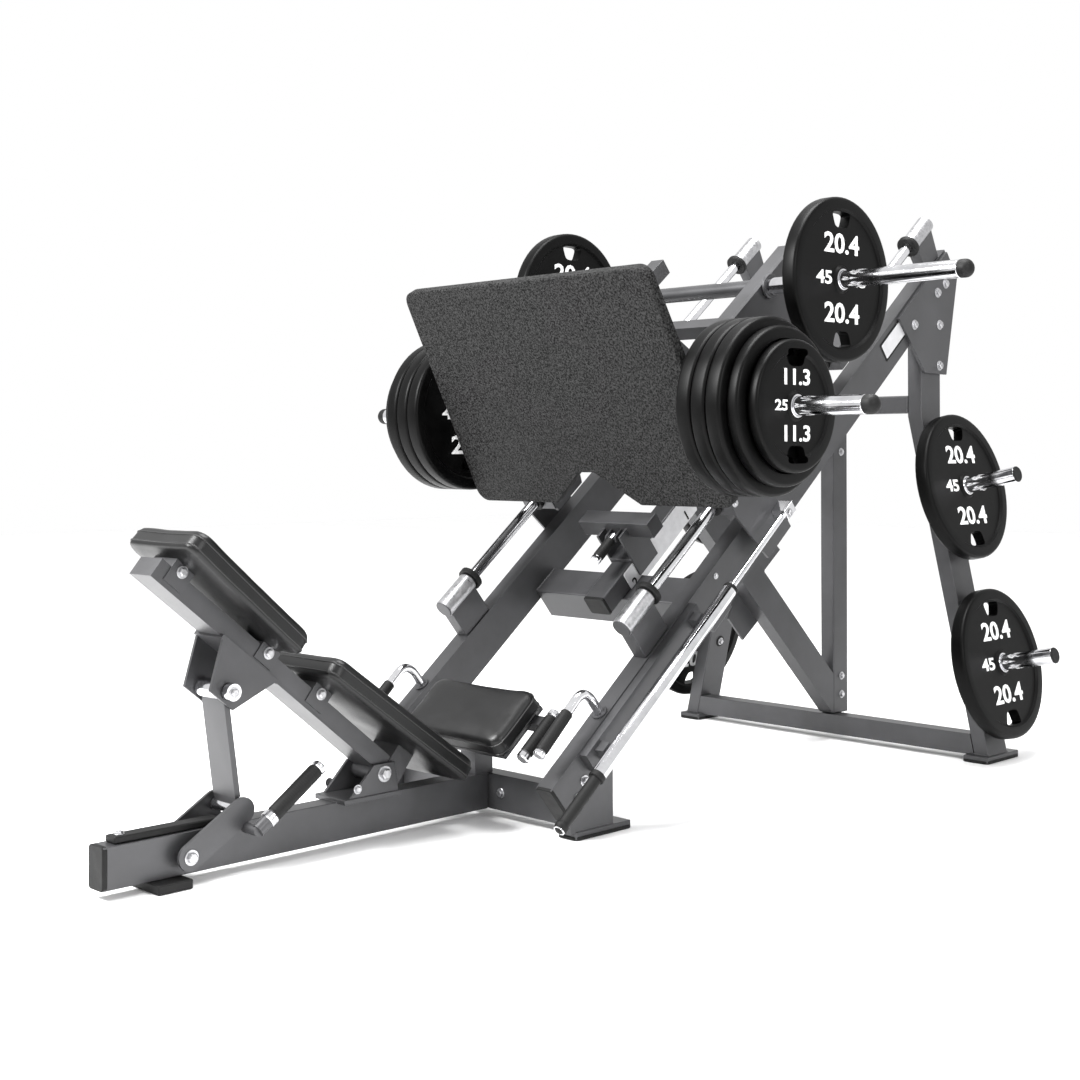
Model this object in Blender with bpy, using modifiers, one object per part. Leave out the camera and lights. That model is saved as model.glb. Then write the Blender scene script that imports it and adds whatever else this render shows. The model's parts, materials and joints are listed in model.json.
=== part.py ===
"""Plate-loaded leg press: a foot sled on two inclined guide rods over a welded steel frame.

World frame: +X runs from the head of the backrest to the tower, +Z is up, and the origin is under
the middle of the machine's box. Frame sizes are given from the head end of the main beam (x = 0)
and from the floor, and pt() moves them to the world. The rails have coordinates of their own:
s runs up along the guide rods, and h stands square off the rod axis. The backrest has its own too.
"""
import math

import bmesh
import bpy
from mathutils import Matrix, Vector

# Fits
GAP = 0.0003
BORE_GAP = 0.0006
WELD = 0.004
SEAM = 0.0001

# Overall layout
TOWER_X = 2.655
PLATE_D = 0.450
X_MID = (TOWER_X + PLATE_D / 2) / 2
RAIL_ANGLE = math.radians(39.2)
RAIL_ORIGIN = (1.349, 0.572)
RAIL_Y = 0.335
HORN_TIP_Y = 0.920

# Beams and rails
BEAM_W, BEAM_H, BEAM_Z = 0.056, 0.0905, 0.0215
BEAM_LENGTH = 1.080
RAIL_W, RAIL_TOP, RAIL_DEPTH = 0.050, -0.104, 0.113
RAIL_S0, RAIL_S1 = -0.570, 1.706
POST_X0, POST_X1 = 1.040, 1.190
FOOT_T = 0.020

# Guide rods, brackets and bumpers
ROD_R = 0.0165
ROD_S0, ROD_S1 = -0.133, 1.700
BOSS_R, LOWER_BOSS, UPPER_BOSS = 0.026, 0.123, 0.120
BUMPER_R, BUMPER_T = 0.035, 0.016

# Sled
HORN_R = 0.024
LOWER_HORN = (0.412, 0.270)
UPPER_HORN = (0.971, 0.274)
SIDE_TUBE_Y, SIDE_TUBE_W = 0.245, 0.050
SIDE_TUBE_S0, SIDE_TUBE_S1 = 0.385, 1.150
SIDE_TUBE_H0, SIDE_TUBE_H1 = 0.247, 0.297
SIDE_PLATE_T = 0.010
BEARING_R, BEARING_L = 0.031, 0.110
HANGER_Y, HANGER_T = 0.390, 0.008
PLATFORM_TOP = (1.224, 1.392)
PLATFORM_FOOT = (1.550, 0.800)
PLATFORM_T = 0.034
PLATFORM_TOP_HALF, PLATFORM_FOOT_HALF = 0.455, 0.480
NOTCH_HALF, NOTCH_DEPTH = 0.160, 0.100
PLATFORM_CORNER, NOTCH_TIP = 0.030, 0.030

# Tower
LEG_X, LEG_Y = 0.112, RAIL_W - 0.0006
KNEE_Z = 1.040
SPLAY = 0.2217
POST_HALF_Y = 0.025
BASE_Z0, BASE_Z1 = 0.018, 0.080

# Storage and plates
STORAGE_Z = (0.810, 0.280)
STORAGE_HORN_L = 0.245
PLATE_T = 0.046
PLATE_35_D, PLATE_35_T = 0.400, 0.036
PLATE_25_D, PLATE_25_T = 0.330, 0.032
PLATE_BORE_GAP = 0.0012
GRIP_R, GRIP_HALF_W, GRIP_HALF_H = 0.163, 0.044, 0.022
PLATE_STANDOFF = 0.035

# Backrest, in its own u (towards the head) and v (out of the cushion) from its pivot
BACK_ANGLE = math.radians(39.0)
BACK_PIVOT = (0.720, 0.165)
BACK_W, BACK_T = 0.086, 0.045
BACK_U0, BACK_U1 = -0.060, 0.800
PAD_W, PAD_T = 0.290, 0.055
UPPER_PAD = ((0.8182, 0.1274), (0.4113, 0.1108))
LOWER_PAD = ((0.3477, 0.1197), (-0.190, 0.1503))
STRUT_TOP = (0.283, 0.407)
STRUT_FOOT = (0.320, 0.142)
STRUT_W, STRUT_T, STRUT_CLEAR = 0.088, 0.014, 0.028
PIN_R, PIN_HALF = 0.018, 0.078
CHEEK_T, CHEEK_Y = 0.008, 0.0470
CRANK_PIVOT = (0.190, 0.064)
CRANK_T, CRANK_Y, CRANK_R = 0.008, 0.0510, 0.030
HANDLE_Y = 0.100
HANDLE_START, HANDLE_END = (0.330, 0.104), (0.496, 0.221)

# Seat
SEAT_FRONT = (1.100, 0.346)
SEAT_ANGLE = math.radians(40.0)
SEAT_LENGTH, SEAT_W, SEAT_T = 0.200, 0.388, 0.060

# Damper and stop
DAMPER_Y, DAMPER_H = 0.430, -0.133
DAMPER_R, DAMPER_ROD_R, DAMPER_FOOT_R = 0.019, 0.008, 0.014
DAMPER_S0, DAMPER_S1 = -0.480, 0.172
DAMPER_ROD_S0, DAMPER_EYE_S0, DAMPER_EYE_S1 = -0.165, 0.457, 0.500
MOUNT_BAR_T = 0.024
STOP_W, STOP_TOP, STOP_T = 0.072, -0.131, 0.056
STOP_S0, STOP_S1 = 0.087, 0.700
MID_S0, MID_S1, MID_DROP = 0.150, 0.250, 0.100
SADDLE_S0, SADDLE_S1, SADDLE_T = 0.236, 0.336, 0.010

COLOURS = {
    "frame": (0.105, 0.105, 0.110, 0.42, 0.75),
    "chrome": (0.62, 0.62, 0.64, 0.16, 1.0),
    "rubber": (0.012, 0.012, 0.012, 0.70, 0.0),
    "upholstery": (0.014, 0.014, 0.015, 0.48, 0.0),
    "grit": (0.010, 0.010, 0.010, 0.85, 0.0),
}


def clear_scene():
    for obj in list(bpy.data.objects):
        bpy.data.objects.remove(obj, do_unlink=True)


def new_collection(name, hidden=False):
    collection = bpy.data.collections.new(name)
    bpy.context.scene.collection.children.link(collection)
    collection.hide_render = hidden
    return collection


def make_material(name):
    red, green, blue, rough, metal = COLOURS[name]
    material = bpy.data.materials.new(name)
    material.use_nodes = True
    shader = material.node_tree.nodes["Principled BSDF"]
    shader.inputs["Base Color"].default_value = (red, green, blue, 1.0)
    shader.inputs["Roughness"].default_value = rough
    shader.inputs["Metallic"].default_value = metal
    return material


def pt(x, y, z):
    """A point given from the beam's head end, in the world."""
    return Vector((x - X_MID, y, z))


def rail_xz(s, h):
    """The frame x and z of a point given along the rails."""
    x = RAIL_ORIGIN[0] + s * math.cos(RAIL_ANGLE) - h * math.sin(RAIL_ANGLE)
    z = RAIL_ORIGIN[1] + s * math.sin(RAIL_ANGLE) + h * math.cos(RAIL_ANGLE)
    return x, z


def back_xz(u, v):
    """The frame x and z of a point given along the backrest."""
    x = BACK_PIVOT[0] - u * math.cos(BACK_ANGLE) + v * math.sin(BACK_ANGLE)
    z = BACK_PIVOT[1] + u * math.sin(BACK_ANGLE) + v * math.cos(BACK_ANGLE)
    return x, z


def seat_xz(length, depth):
    """The frame x and z of a point down the seat's top and below it."""
    x = SEAT_FRONT[0] - length * math.cos(SEAT_ANGLE) + depth * math.sin(SEAT_ANGLE)
    z = SEAT_FRONT[1] - length * math.sin(SEAT_ANGLE) - depth * math.cos(SEAT_ANGLE)
    return x, z


def rail_height(x, z):
    """How far a frame point stands off the guide-rod axis."""
    dx, dz = x - RAIL_ORIGIN[0], z - RAIL_ORIGIN[1]
    return dz * math.cos(RAIL_ANGLE) - dx * math.sin(RAIL_ANGLE)


def rail_under_z(x):
    """The height of the rail's underside above the floor at x."""
    x0, z0 = rail_xz(0, RAIL_TOP - RAIL_DEPTH)
    return z0 + (x - x0) * math.tan(RAIL_ANGLE)


def leg_outer_y(z):
    """The outer face of a splayed tower leg at height z."""
    return RAIL_Y + LEG_Y / 2 + SPLAY * max(KNEE_Z - z, 0.0)


def keep(obj, finish):
    """Puts a piece in the machine's collection with its material."""
    obj.data.materials.clear()
    obj.data.materials.append(MATERIALS[finish])
    return obj


def from_bmesh(name, bm, collection=None):
    bmesh.ops.recalc_face_normals(bm, faces=bm.faces)
    mesh = bpy.data.meshes.new(name)
    bm.to_mesh(mesh)
    bm.free()
    obj = bpy.data.objects.new(name, mesh)
    (collection or PARTS).objects.link(obj)
    return obj


def prism(name, outline, low, high, axis="Y"):
    """An outline of frame (x, z) points carried across y, or of (y, z) points carried along x."""
    bm = bmesh.new()
    if axis == "Y":
        verts = [bm.verts.new(pt(a, low, b)) for a, b in outline]
        shift = Vector((0, high - low, 0))
    else:
        verts = [bm.verts.new(pt(low, a, b)) for a, b in outline]
        shift = Vector((high - low, 0, 0))
    face = bm.faces.new(verts)
    grown = bmesh.ops.extrude_face_region(bm, geom=[face])
    moved = [v for v in grown["geom"] if isinstance(v, bmesh.types.BMVert)]
    bmesh.ops.translate(bm, verts=moved, vec=shift)
    return from_bmesh(name, bm)


def box(name, x0, x1, y0, y1, z0, z1):
    return prism(name, [(x0, z0), (x1, z0), (x1, z1), (x0, z1)], y0, y1)


def rail_prism(name, s0, s1, h0, h1, y0, y1):
    """A block lying along the rails."""
    corners = [(s0, h0), (s1, h0), (s1, h1), (s0, h1)]
    return prism(name, [rail_xz(s, h) for s, h in corners], y0, y1)


def cylinder(name, start, end, radius, sides=20):
    """A round bar between two world points."""
    bm = bmesh.new()
    span = end - start
    turn = span.to_track_quat("Z", "Y").to_matrix().to_4x4()
    bmesh.ops.create_cone(
        bm, cap_ends=True, segments=sides, radius1=radius, radius2=radius, depth=span.length,
        matrix=Matrix.Translation((start + end) / 2) @ turn)
    obj = from_bmesh(name, bm)
    obj.data.shade_smooth()
    obj.data.set_sharp_from_angle(angle=math.radians(40))
    return obj


def rail_bar(name, s0, s1, y, h, radius, sides=20):
    """A round bar along the rails."""
    a, b = rail_xz(s0, h), rail_xz(s1, h)
    return cylinder(name, pt(a[0], y, a[1]), pt(b[0], y, b[1]), radius, sides)


def cross_bar(name, xz, y0, y1, radius, sides=20):
    """A round bar across the machine."""
    return cylinder(name, pt(xz[0], y0, xz[1]), pt(xz[0], y1, xz[1]), radius, sides)


def join(base, *others, operation="UNION"):
    """Adds the other shapes to the base, or cuts them from it, and applies the result."""
    for other in others:
        modifier = base.modifiers.new(operation.lower(), "BOOLEAN")
        modifier.operation = operation
        modifier.solver = "EXACT"
        modifier.object = other
        mesh = bpy.data.meshes.new_from_object(
            base.evaluated_get(bpy.context.evaluated_depsgraph_get()))
        base.modifiers.clear()
        old, base.data = base.data, mesh
        bpy.data.meshes.remove(old)
        bpy.data.objects.remove(other, do_unlink=True)
    base.data.name = base.name
    return base


def cut(base, *others):
    return join(base, *others, operation="DIFFERENCE")


def side_name(side):
    return "left" if side > 0 else "right"


def mirrored(y0, y1, side):
    """A y range on one side of the machine, low value first."""
    return (y0, y1) if side > 0 else (-y1, -y0)


def main_beam():
    beam = box("main_beam", 0.0, BEAM_LENGTH - GAP, -BEAM_W / 2, BEAM_W / 2,
               BEAM_Z, BEAM_Z + BEAM_H)
    top = BEAM_Z + BEAM_H
    saddle = box("saddle", 0.600, 0.770, -0.058, 0.058, top - 0.004, top + 0.008)
    ears = [prism("ear", [(0.612, top), (0.765, top), (0.752, 0.190), (0.690, 0.190)],
                  *mirrored(0.0465, 0.0545, side)) for side in (1, -1)]
    keep(join(beam, saddle, *ears), "frame")
    keep(box("wear_strip", 0.030, 0.290, -0.020, 0.020, top + GAP, top + 0.016), "rubber")
    keep(box("rear_foot", 0.105, 0.190, -0.068, 0.068, 0.0, BEAM_Z - GAP), "rubber")


def front_end():
    keep(box("front_crossbeam", BEAM_LENGTH, BEAM_LENGTH + BEAM_W, -RAIL_Y + RAIL_W / 2 + GAP,
             RAIL_Y - RAIL_W / 2 - GAP, BEAM_Z, BEAM_Z + BEAM_H), "frame")
    for side in (1, -1):
        y0, y1 = mirrored(RAIL_Y - RAIL_W / 2, RAIL_Y + RAIL_W / 2, side)
        outline = [(POST_X0, FOOT_T - WELD), (POST_X1, FOOT_T - WELD),
                   (POST_X1, rail_under_z(POST_X1) - 2 * GAP),
                   (POST_X0, rail_under_z(POST_X0) - 2 * GAP)]
        post = prism(f"front_post_{side_name(side)}", outline, y0, y1)
        y0, y1 = mirrored(RAIL_Y - 0.031, RAIL_Y + 0.029, side)
        keep(join(post, box("foot", 1.055, 1.249, y0, y1, 0.0, FOOT_T)), "frame")


def rails():
    """The two inclined rails with their top gussets, and the damper's mounting bar on the right one."""
    outer = RAIL_Y + RAIL_W / 2
    for side in (1, -1):
        y0, y1 = mirrored(RAIL_Y - RAIL_W / 2, outer, side)
        rail = rail_prism(f"rail_{side_name(side)}", RAIL_S0, RAIL_S1, RAIL_TOP - RAIL_DEPTH,
                          RAIL_TOP, y0, y1)
        end_x, end_z = rail_xz(RAIL_S1 - 0.006, RAIL_TOP - 0.006)
        low_x, low_z = rail_xz(RAIL_S1 - 0.006, RAIL_TOP - RAIL_DEPTH + 0.010)
        outline = [(TOWER_X - 0.194, 1.333), (TOWER_X - 0.048, 1.175), (TOWER_X + 0.075, 1.173),
                   (low_x, low_z), (end_x, end_z), rail_xz(RAIL_S1 - 0.050, RAIL_TOP - 0.006)]
        shapes = [prism("gusset", outline, *mirrored(outer - SEAM, outer + 0.010, side))]
        if side < 0:
            shapes.append(rail_prism("bar", -0.450, 0.080, -0.163, RAIL_TOP - 0.004,
                                     -outer - MOUNT_BAR_T, -outer + SEAM))
            shapes += [rail_prism("lug", s, s + 0.030, -0.150, -0.118, -DAMPER_Y + DAMPER_R + GAP,
                                  -outer - MOUNT_BAR_T + WELD) for s in (-0.420, 0.030)]
        keep(join(rail, *shapes), "frame")


def guides():
    for side in (1, -1):
        y, tag = side * RAIL_Y, side_name(side)
        lower_end, upper_start = ROD_S0 + LOWER_BOSS, ROD_S1 - UPPER_BOSS
        keep(rail_bar(f"guide_rod_{tag}", lower_end + GAP, upper_start - GAP, y, 0, ROD_R), "chrome")
        for end, s0, s1 in (("lower", ROD_S0, lower_end), ("upper", upper_start, ROD_S1)):
            boss = rail_bar(f"rod_bracket_{end}_{tag}", s0, s1, y, 0, BOSS_R)
            lean = 0.030 if end == "upper" else -0.008
            feet = [(s0 + 0.006, RAIL_TOP + GAP), (s1 - max(lean, 0.006), RAIL_TOP + GAP),
                    (s1 - 0.006, 0.004), (s0 + 0.006, 0.004)]
            web = prism("web", [rail_xz(*p) for p in feet], y - 0.020, y + 0.020)
            keep(join(boss, web), "frame")
        s0 = lower_end + GAP
        ring = rail_bar(f"bumper_{tag}", s0, s0 + BUMPER_T, y, 0, BUMPER_R, 24)
        bore = rail_bar("bore", s0 - 0.01, s0 + BUMPER_T + 0.01, y, 0, ROD_R + GAP)
        keep(cut(ring, bore), "rubber")


def mid_frame():
    inner = RAIL_Y - RAIL_W / 2 - GAP
    top = STOP_TOP - STOP_T - GAP
    keep(rail_prism("mid_crossmember", MID_S0, MID_S1, top - MID_DROP, top, -inner, inner), "frame")
    keep(rail_prism("stop_tube", STOP_S0, STOP_S1, STOP_TOP - STOP_T, STOP_TOP,
                    -STOP_W / 2, STOP_W / 2), "frame")


def tower():
    x0, x1 = TOWER_X - LEG_X / 2, TOWER_X + LEG_X / 2
    for side in (1, -1):
        tag = side_name(side)
        bm = bmesh.new()
        rings = []
        for z in (FOOT_T - WELD, KNEE_Z, None):
            level = KNEE_Z if z is None else z
            outer = leg_outer_y(level)
            low = [z if z is not None else rail_under_z(x) - 2 * GAP for x in (x0, x1)]
            corners = ((x0, outer - LEG_Y, low[0]), (x1, outer - LEG_Y, low[1]),
                       (x1, outer, low[1]), (x0, outer, low[0]))
            rings.append([bm.verts.new(pt(x, side * y, h)) for x, y, h in corners])
        bm.faces.new(rings[0])
        bm.faces.new(rings[-1])
        for lower, upper in zip(rings, rings[1:]):
            for i in range(4):
                j = (i + 1) % 4
                bm.faces.new((lower[i], lower[j], upper[j], upper[i]))
        leg = from_bmesh(f"tower_leg_{tag}", bm)
        y0, y1 = mirrored(leg_outer_y(0) - 0.078, leg_outer_y(0) + 0.004, side)
        foot = box("foot", TOWER_X - 0.080, TOWER_X + 0.108, y0, y1, 0.0, FOOT_T)
        keep(join(leg, foot), "frame")
    low, high = (leg_outer_y(z) - LEG_Y - 2 * GAP for z in (BASE_Z0, BASE_Z1))
    foot_inner = leg_outer_y(0) - 0.078 - 2 * GAP
    outline = [(-foot_inner, BASE_Z0), (foot_inner, BASE_Z0), (foot_inner, FOOT_T + GAP),
               (low - 0.001, FOOT_T + GAP), (high, BASE_Z1), (-high, BASE_Z1),
               (-low + 0.001, FOOT_T + GAP), (-foot_inner, FOOT_T + GAP)]
    keep(prism("base_beam", outline, x0, x0 + 0.060, axis="X"), "frame")
    inner = RAIL_Y - LEG_Y / 2 - GAP
    keep(box("tower_crossbeam", x0, x0 + 0.050, -inner, inner, 1.050, 1.105), "frame")
    post_x0 = x0 + 0.011
    keep(box("tower_post", post_x0, post_x0 + 0.080, -POST_HALF_Y, POST_HALF_Y,
             BASE_Z1 + GAP, 1.050 - GAP), "frame")
    brace(post_x0 - GAP)


def brace(end_x):
    """The diagonal strut in the middle plane, from the post's foot to the stop tube's underside."""
    slope = math.radians(43.7)
    along = Vector((-math.cos(slope), math.sin(slope)))
    across = Vector((math.sin(slope), math.cos(slope))) * 0.0475
    middle = Vector((TOWER_X - 0.125, 0.220))
    target = STOP_TOP - STOP_T - 2 * GAP
    tips = []
    for edge in (middle + across, middle - across):
        here = rail_height(*edge)
        step = rail_height(*(edge + along)) - here
        tips.append(edge + along * ((target - here) / step))
    ends = []
    for edge in (middle + across, middle - across):
        ends.append(edge + along * ((edge.x - end_x) / math.cos(slope)))
    floor_z = BASE_Z1 + 0.004
    outline = [tuple(tips[0]), tuple(ends[0]), (end_x, floor_z)]
    toe = (middle - across) + along * ((floor_z - (middle - across).y) / along.y)
    outline += [tuple(toe), tuple(tips[1])]
    keep(join(prism("tower_brace", outline, -0.025, 0.025), gusset_plate()), "frame")


def gusset_plate():
    """The flat plate beside the brace's upper half."""
    outline = [(-0.315, 0.660), (-0.265, 0.620), (-0.345, 0.560), (-0.385, 0.400), (-0.455, 0.350),
               (-0.525, 0.420), (-0.475, 0.520)]
    return prism("gusset", [(TOWER_X + x, z) for x, z in outline], 0.025 - SEAM, 0.033)


def horn(name, base, direction, length, radius=HORN_R):
    return keep(cylinder(name, base, base + direction * length, radius), "chrome")


def weight_plate(name, centre, axis, diameter, layers):
    """A stack of plates joined face to face along the horn's axis, bored for the horn.

    centre is the middle of the inner face, and each layer is (diameter, thickness).
    """
    turn = axis.to_track_quat("Z", "Y").to_matrix().to_4x4()
    place = Matrix.Translation(centre) @ turn
    total = sum(t for _, t in layers)
    base = None
    at = 0.0
    for index, (wide, thick) in enumerate(layers):
        start = at - (0.002 if index else 0.0)
        ring = turned("ring", plate_profile(wide / 2, start, at + thick), place)
        base = ring if base is None else join(base, ring)
        at += thick
    bore = cylinder("bore", place @ Vector((0, 0, -0.02)), place @ Vector((0, 0, total + 0.02)),
                    HORN_R + PLATE_BORE_GAP)
    grips = [grip_cutter(place, end, total, diameter) for end in (1, -1)]
    plate = cut(base, bore, *grips)
    plate.name = name
    plate.data.name = name
    return keep(plate, "rubber")


def grip_cutter(place, end, total, diameter):
    """The hand opening near the rim, above and below the bore."""
    upright = place.to_3x3().inverted() @ Vector((0, 0, 1))
    upright.z = 0
    upright.normalize()
    across = Vector((upright.y, -upright.x, 0))
    reach = GRIP_R * diameter / PLATE_D
    bm = bmesh.new()
    corners = ((-0.62, -1), (0.62, -1), (1, 0.4), (0.6, 1), (-0.6, 1), (-1, 0.4))
    low, high = -0.01, total + 0.01
    ring = []
    for a, b in corners:
        spot = upright * end * (reach + b * GRIP_HALF_H) + across * a * GRIP_HALF_W
        ring.append(bm.verts.new(place @ Vector((spot.x, spot.y, low))))
    face = bm.faces.new(ring)
    grown = bmesh.ops.extrude_face_region(bm, geom=[face])
    moved = [v for v in grown["geom"] if isinstance(v, bmesh.types.BMVert)]
    lift = place.to_3x3() @ Vector((0, 0, high - low))
    bmesh.ops.translate(bm, verts=moved, vec=lift)
    return from_bmesh("grip", bm)


def plate_profile(radius, low, high):
    """A disc section with chamfered rims, from its axis round its rim."""
    edge = 0.008
    return [(0.0, high), (radius - edge, high), (radius, high - edge), (radius, low + edge),
            (radius - edge, low), (0.0, low)]


def turned(name, profile, place, steps=32):
    """A profile of (radius, height) carried round its own Z axis, then put in its place."""
    mesh = bpy.data.meshes.new(name)
    points = [(r, 0.0, z) for r, z in profile]
    mesh.from_pydata(points, [(i, i + 1) for i in range(len(points) - 1)], [])
    obj = bpy.data.objects.new(name, mesh)
    PARTS.objects.link(obj)
    screw = obj.modifiers.new("turn", "SCREW")
    screw.axis = "Z"
    screw.steps = screw.render_steps = steps
    screw.use_merge_vertices = True
    screw.merge_threshold = 0.00005
    graph = bpy.context.evaluated_depsgraph_get()
    solid = bpy.data.meshes.new_from_object(obj.evaluated_get(graph))
    solid.transform(place)
    obj.modifiers.clear()
    obj.data = solid
    bpy.data.meshes.remove(mesh)
    return obj


def storage():
    for side in (1, -1):
        tag = side_name(side)
        for level, z in zip(("upper", "lower"), STORAGE_Z):
            outward = Vector((0, side, SPLAY)).normalized()
            face = pt(TOWER_X, side * (leg_outer_y(z) + GAP), z)
            root = face + outward * 0.0002
            horn(f"storage_horn_{level}_{tag}", root, outward, STORAGE_HORN_L)
            weight_plate(f"storage_plate_{level}_{tag}", face + outward * PLATE_STANDOFF, outward,
                         PLATE_D, [(PLATE_D, PLATE_T)])


def sled():
    build_sled_frame()
    for side in (1, -1):
        build_sled_side(side)
        tag, outward = side_name(side), Vector((0, side, 0))
        for level, (s, h) in (("lower", LOWER_HORN), ("upper", UPPER_HORN)):
            x, z = rail_xz(s, h)
            root = SIDE_TUBE_Y + SIDE_TUBE_W / 2 + SIDE_PLATE_T + 2 * GAP
            horn(f"sled_horn_{level}_{tag}", pt(x, side * root, z), outward, HORN_TIP_Y - root)
        x, z = rail_xz(*UPPER_HORN)
        weight_plate(f"upper_plate_{tag}", pt(x, side * (0.510 - PLATE_T / 2), z), outward,
                     PLATE_D, [(PLATE_D, PLATE_T)])
        x, z = rail_xz(*LOWER_HORN)
        layers = [(PLATE_D, PLATE_T)] * 3 + [(PLATE_35_D, PLATE_35_T)]
        inner = HANGER_Y + 0.096
        weight_plate(f"plate_stack_{tag}", pt(x, side * inner, z), outward, PLATE_35_D, layers)
        outer = inner + sum(t for _, t in layers) + GAP
        weight_plate(f"outer_plate_{tag}", pt(x, side * outer, z), outward, PLATE_25_D,
                     [(PLATE_25_D, PLATE_25_T)])
    platform()


def build_sled_frame():
    inner, outer = SIDE_TUBE_Y - SIDE_TUBE_W / 2, SIDE_TUBE_Y + SIDE_TUBE_W / 2
    frame = rail_prism("sled_frame", SIDE_TUBE_S0, SIDE_TUBE_S1, SIDE_TUBE_H0, SIDE_TUBE_H1,
                       inner, outer)
    other = rail_prism("side", SIDE_TUBE_S0, SIDE_TUBE_S1, SIDE_TUBE_H0, SIDE_TUBE_H1,
                       -outer, -inner)
    ties = [cross_bar("tie", rail_xz(*UPPER_HORN), -inner - 0.01, inner + 0.01, 0.0225),
            cross_bar("tie", rail_xz(LOWER_HORN[0] + 0.010, LOWER_HORN[1]), -inner - 0.01,
                      inner + 0.01, 0.0225),
            rail_prism("tie", 0.760, 0.800, 0.252, 0.292, -inner - 0.01, inner + 0.01)]
    ribs = []
    for side in (1, -1):
        outline = [platform_xz(0.045, PLATFORM_T + 0.001), platform_xz(0.625, PLATFORM_T + 0.001),
                   platform_xz(0.610, PLATFORM_T + 0.022), rail_xz(0.470, SIDE_TUBE_H0 + 0.020),
                   rail_xz(0.620, SIDE_TUBE_H1 - 0.020), platform_xz(0.060, PLATFORM_T + 0.030)]
        ribs.append(prism("rib", outline, *mirrored(inner + 0.012, outer - 0.012, side)))
    keep(join(frame, other, *ties, *ribs), "frame")


def platform_xz(down, behind):
    """The frame x and z of a point down the platform's face and behind it."""
    top, foot = Vector(PLATFORM_TOP), Vector(PLATFORM_FOOT)
    along = (foot - top).normalized()
    back = Vector((-along.y, along.x))
    spot = top + along * down + back * behind
    return spot.x, spot.y


def build_sled_side(side):
    """The plate beside the sled frame, with two bearing blocks and the hanger outside the rail."""
    tag = side_name(side)
    inner = SIDE_TUBE_Y + SIDE_TUBE_W / 2 + GAP
    tops = [(0.392, SIDE_TUBE_H1), (1.090, SIDE_TUBE_H1), (1.090, -0.040), (0.960, -0.040),
            (0.900, 0.190), (0.560, 0.190), (0.470, -0.040), (0.342, -0.040), (0.342, 0.050)]
    plate = prism(f"sled_side_{tag}", [rail_xz(*p) for p in tops],
                  *mirrored(inner, inner + SIDE_PLATE_T, side))
    shapes, bores = [], []
    for s0 in (0.338, 0.976):
        block = rail_prism("block", s0, s0 + BEARING_L, -BEARING_R, BEARING_R,
                           *mirrored(inner + 0.004, HANGER_Y + 0.004, side))
        shapes.append(block)
        bores.append(rail_bar("bore", s0 - 0.02, s0 + BEARING_L + 0.02, side * RAIL_Y, 0,
                              ROD_R + BORE_GAP))
    flange = [(0.336, -0.036), (0.370, -0.210), (0.500, -0.210), (0.500, -0.110), (0.446, 0.026),
              (0.342, 0.026)]
    shapes.append(prism("flange", [rail_xz(*p) for p in flange],
                        *mirrored(HANGER_Y, HANGER_Y + HANGER_T, side)))
    join(plate, *shapes)
    keep(cut(plate, *bores), "frame")


def platform():
    """The foot plate, with its corners cut and a notch in its lower edge."""
    length = (Vector(PLATFORM_FOOT) - Vector(PLATFORM_TOP)).length
    soft = PLATFORM_CORNER
    outline = [(-PLATFORM_TOP_HALF + soft, 0.0), (PLATFORM_TOP_HALF - soft, 0.0),
               (PLATFORM_TOP_HALF, soft), (PLATFORM_FOOT_HALF, length - soft),
               (PLATFORM_FOOT_HALF - soft, length), (NOTCH_HALF, length),
               (NOTCH_TIP, length - NOTCH_DEPTH), (-NOTCH_TIP, length - NOTCH_DEPTH),
               (-NOTCH_HALF, length), (-PLATFORM_FOOT_HALF + soft, length),
               (-PLATFORM_FOOT_HALF, length - soft), (-PLATFORM_TOP_HALF, soft)]
    bm = bmesh.new()
    verts = []
    for y, down in outline:
        x, z = platform_xz(down, 0.0)
        verts.append(bm.verts.new(pt(x, y, z)))
    face = bm.faces.new(verts)
    grown = bmesh.ops.extrude_face_region(bm, geom=[face])
    moved = [v for v in grown["geom"] if isinstance(v, bmesh.types.BMVert)]
    front, rear = platform_xz(0, 0), platform_xz(0, PLATFORM_T)
    shift = Vector((rear[0] - front[0], 0, rear[1] - front[1]))
    bmesh.ops.translate(bm, verts=moved, vec=shift)
    keep(from_bmesh("platform", bm), "grit")


def damper():
    """The gas damper beside the right rail: a bored cylinder with its foot, and the sled's rod."""
    y = -DAMPER_Y
    tube = rail_bar("damper_cylinder", DAMPER_S0, DAMPER_S1, y, DAMPER_H, DAMPER_R)
    foot = rail_bar("foot", -0.651, DAMPER_S0 + 0.010, y, DAMPER_H, DAMPER_FOOT_R)
    join(tube, foot)
    bore = rail_bar("bore", DAMPER_S0 + 0.020, DAMPER_S1 + 0.020, y, DAMPER_H,
                    DAMPER_ROD_R + BORE_GAP, 16)
    keep(cut(tube, bore), "chrome")
    rod = rail_bar("damper_rod", DAMPER_ROD_S0, DAMPER_EYE_S1, y, DAMPER_H, DAMPER_ROD_R, 16)
    low, high = DAMPER_H - 0.016, DAMPER_H + 0.016
    flange = -HANGER_Y - HANGER_T
    eye = rail_prism("eye", DAMPER_EYE_S0, DAMPER_EYE_S1, low, high, y - 0.014, flange - GAP)
    keep(join(rod, eye), "chrome")


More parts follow.
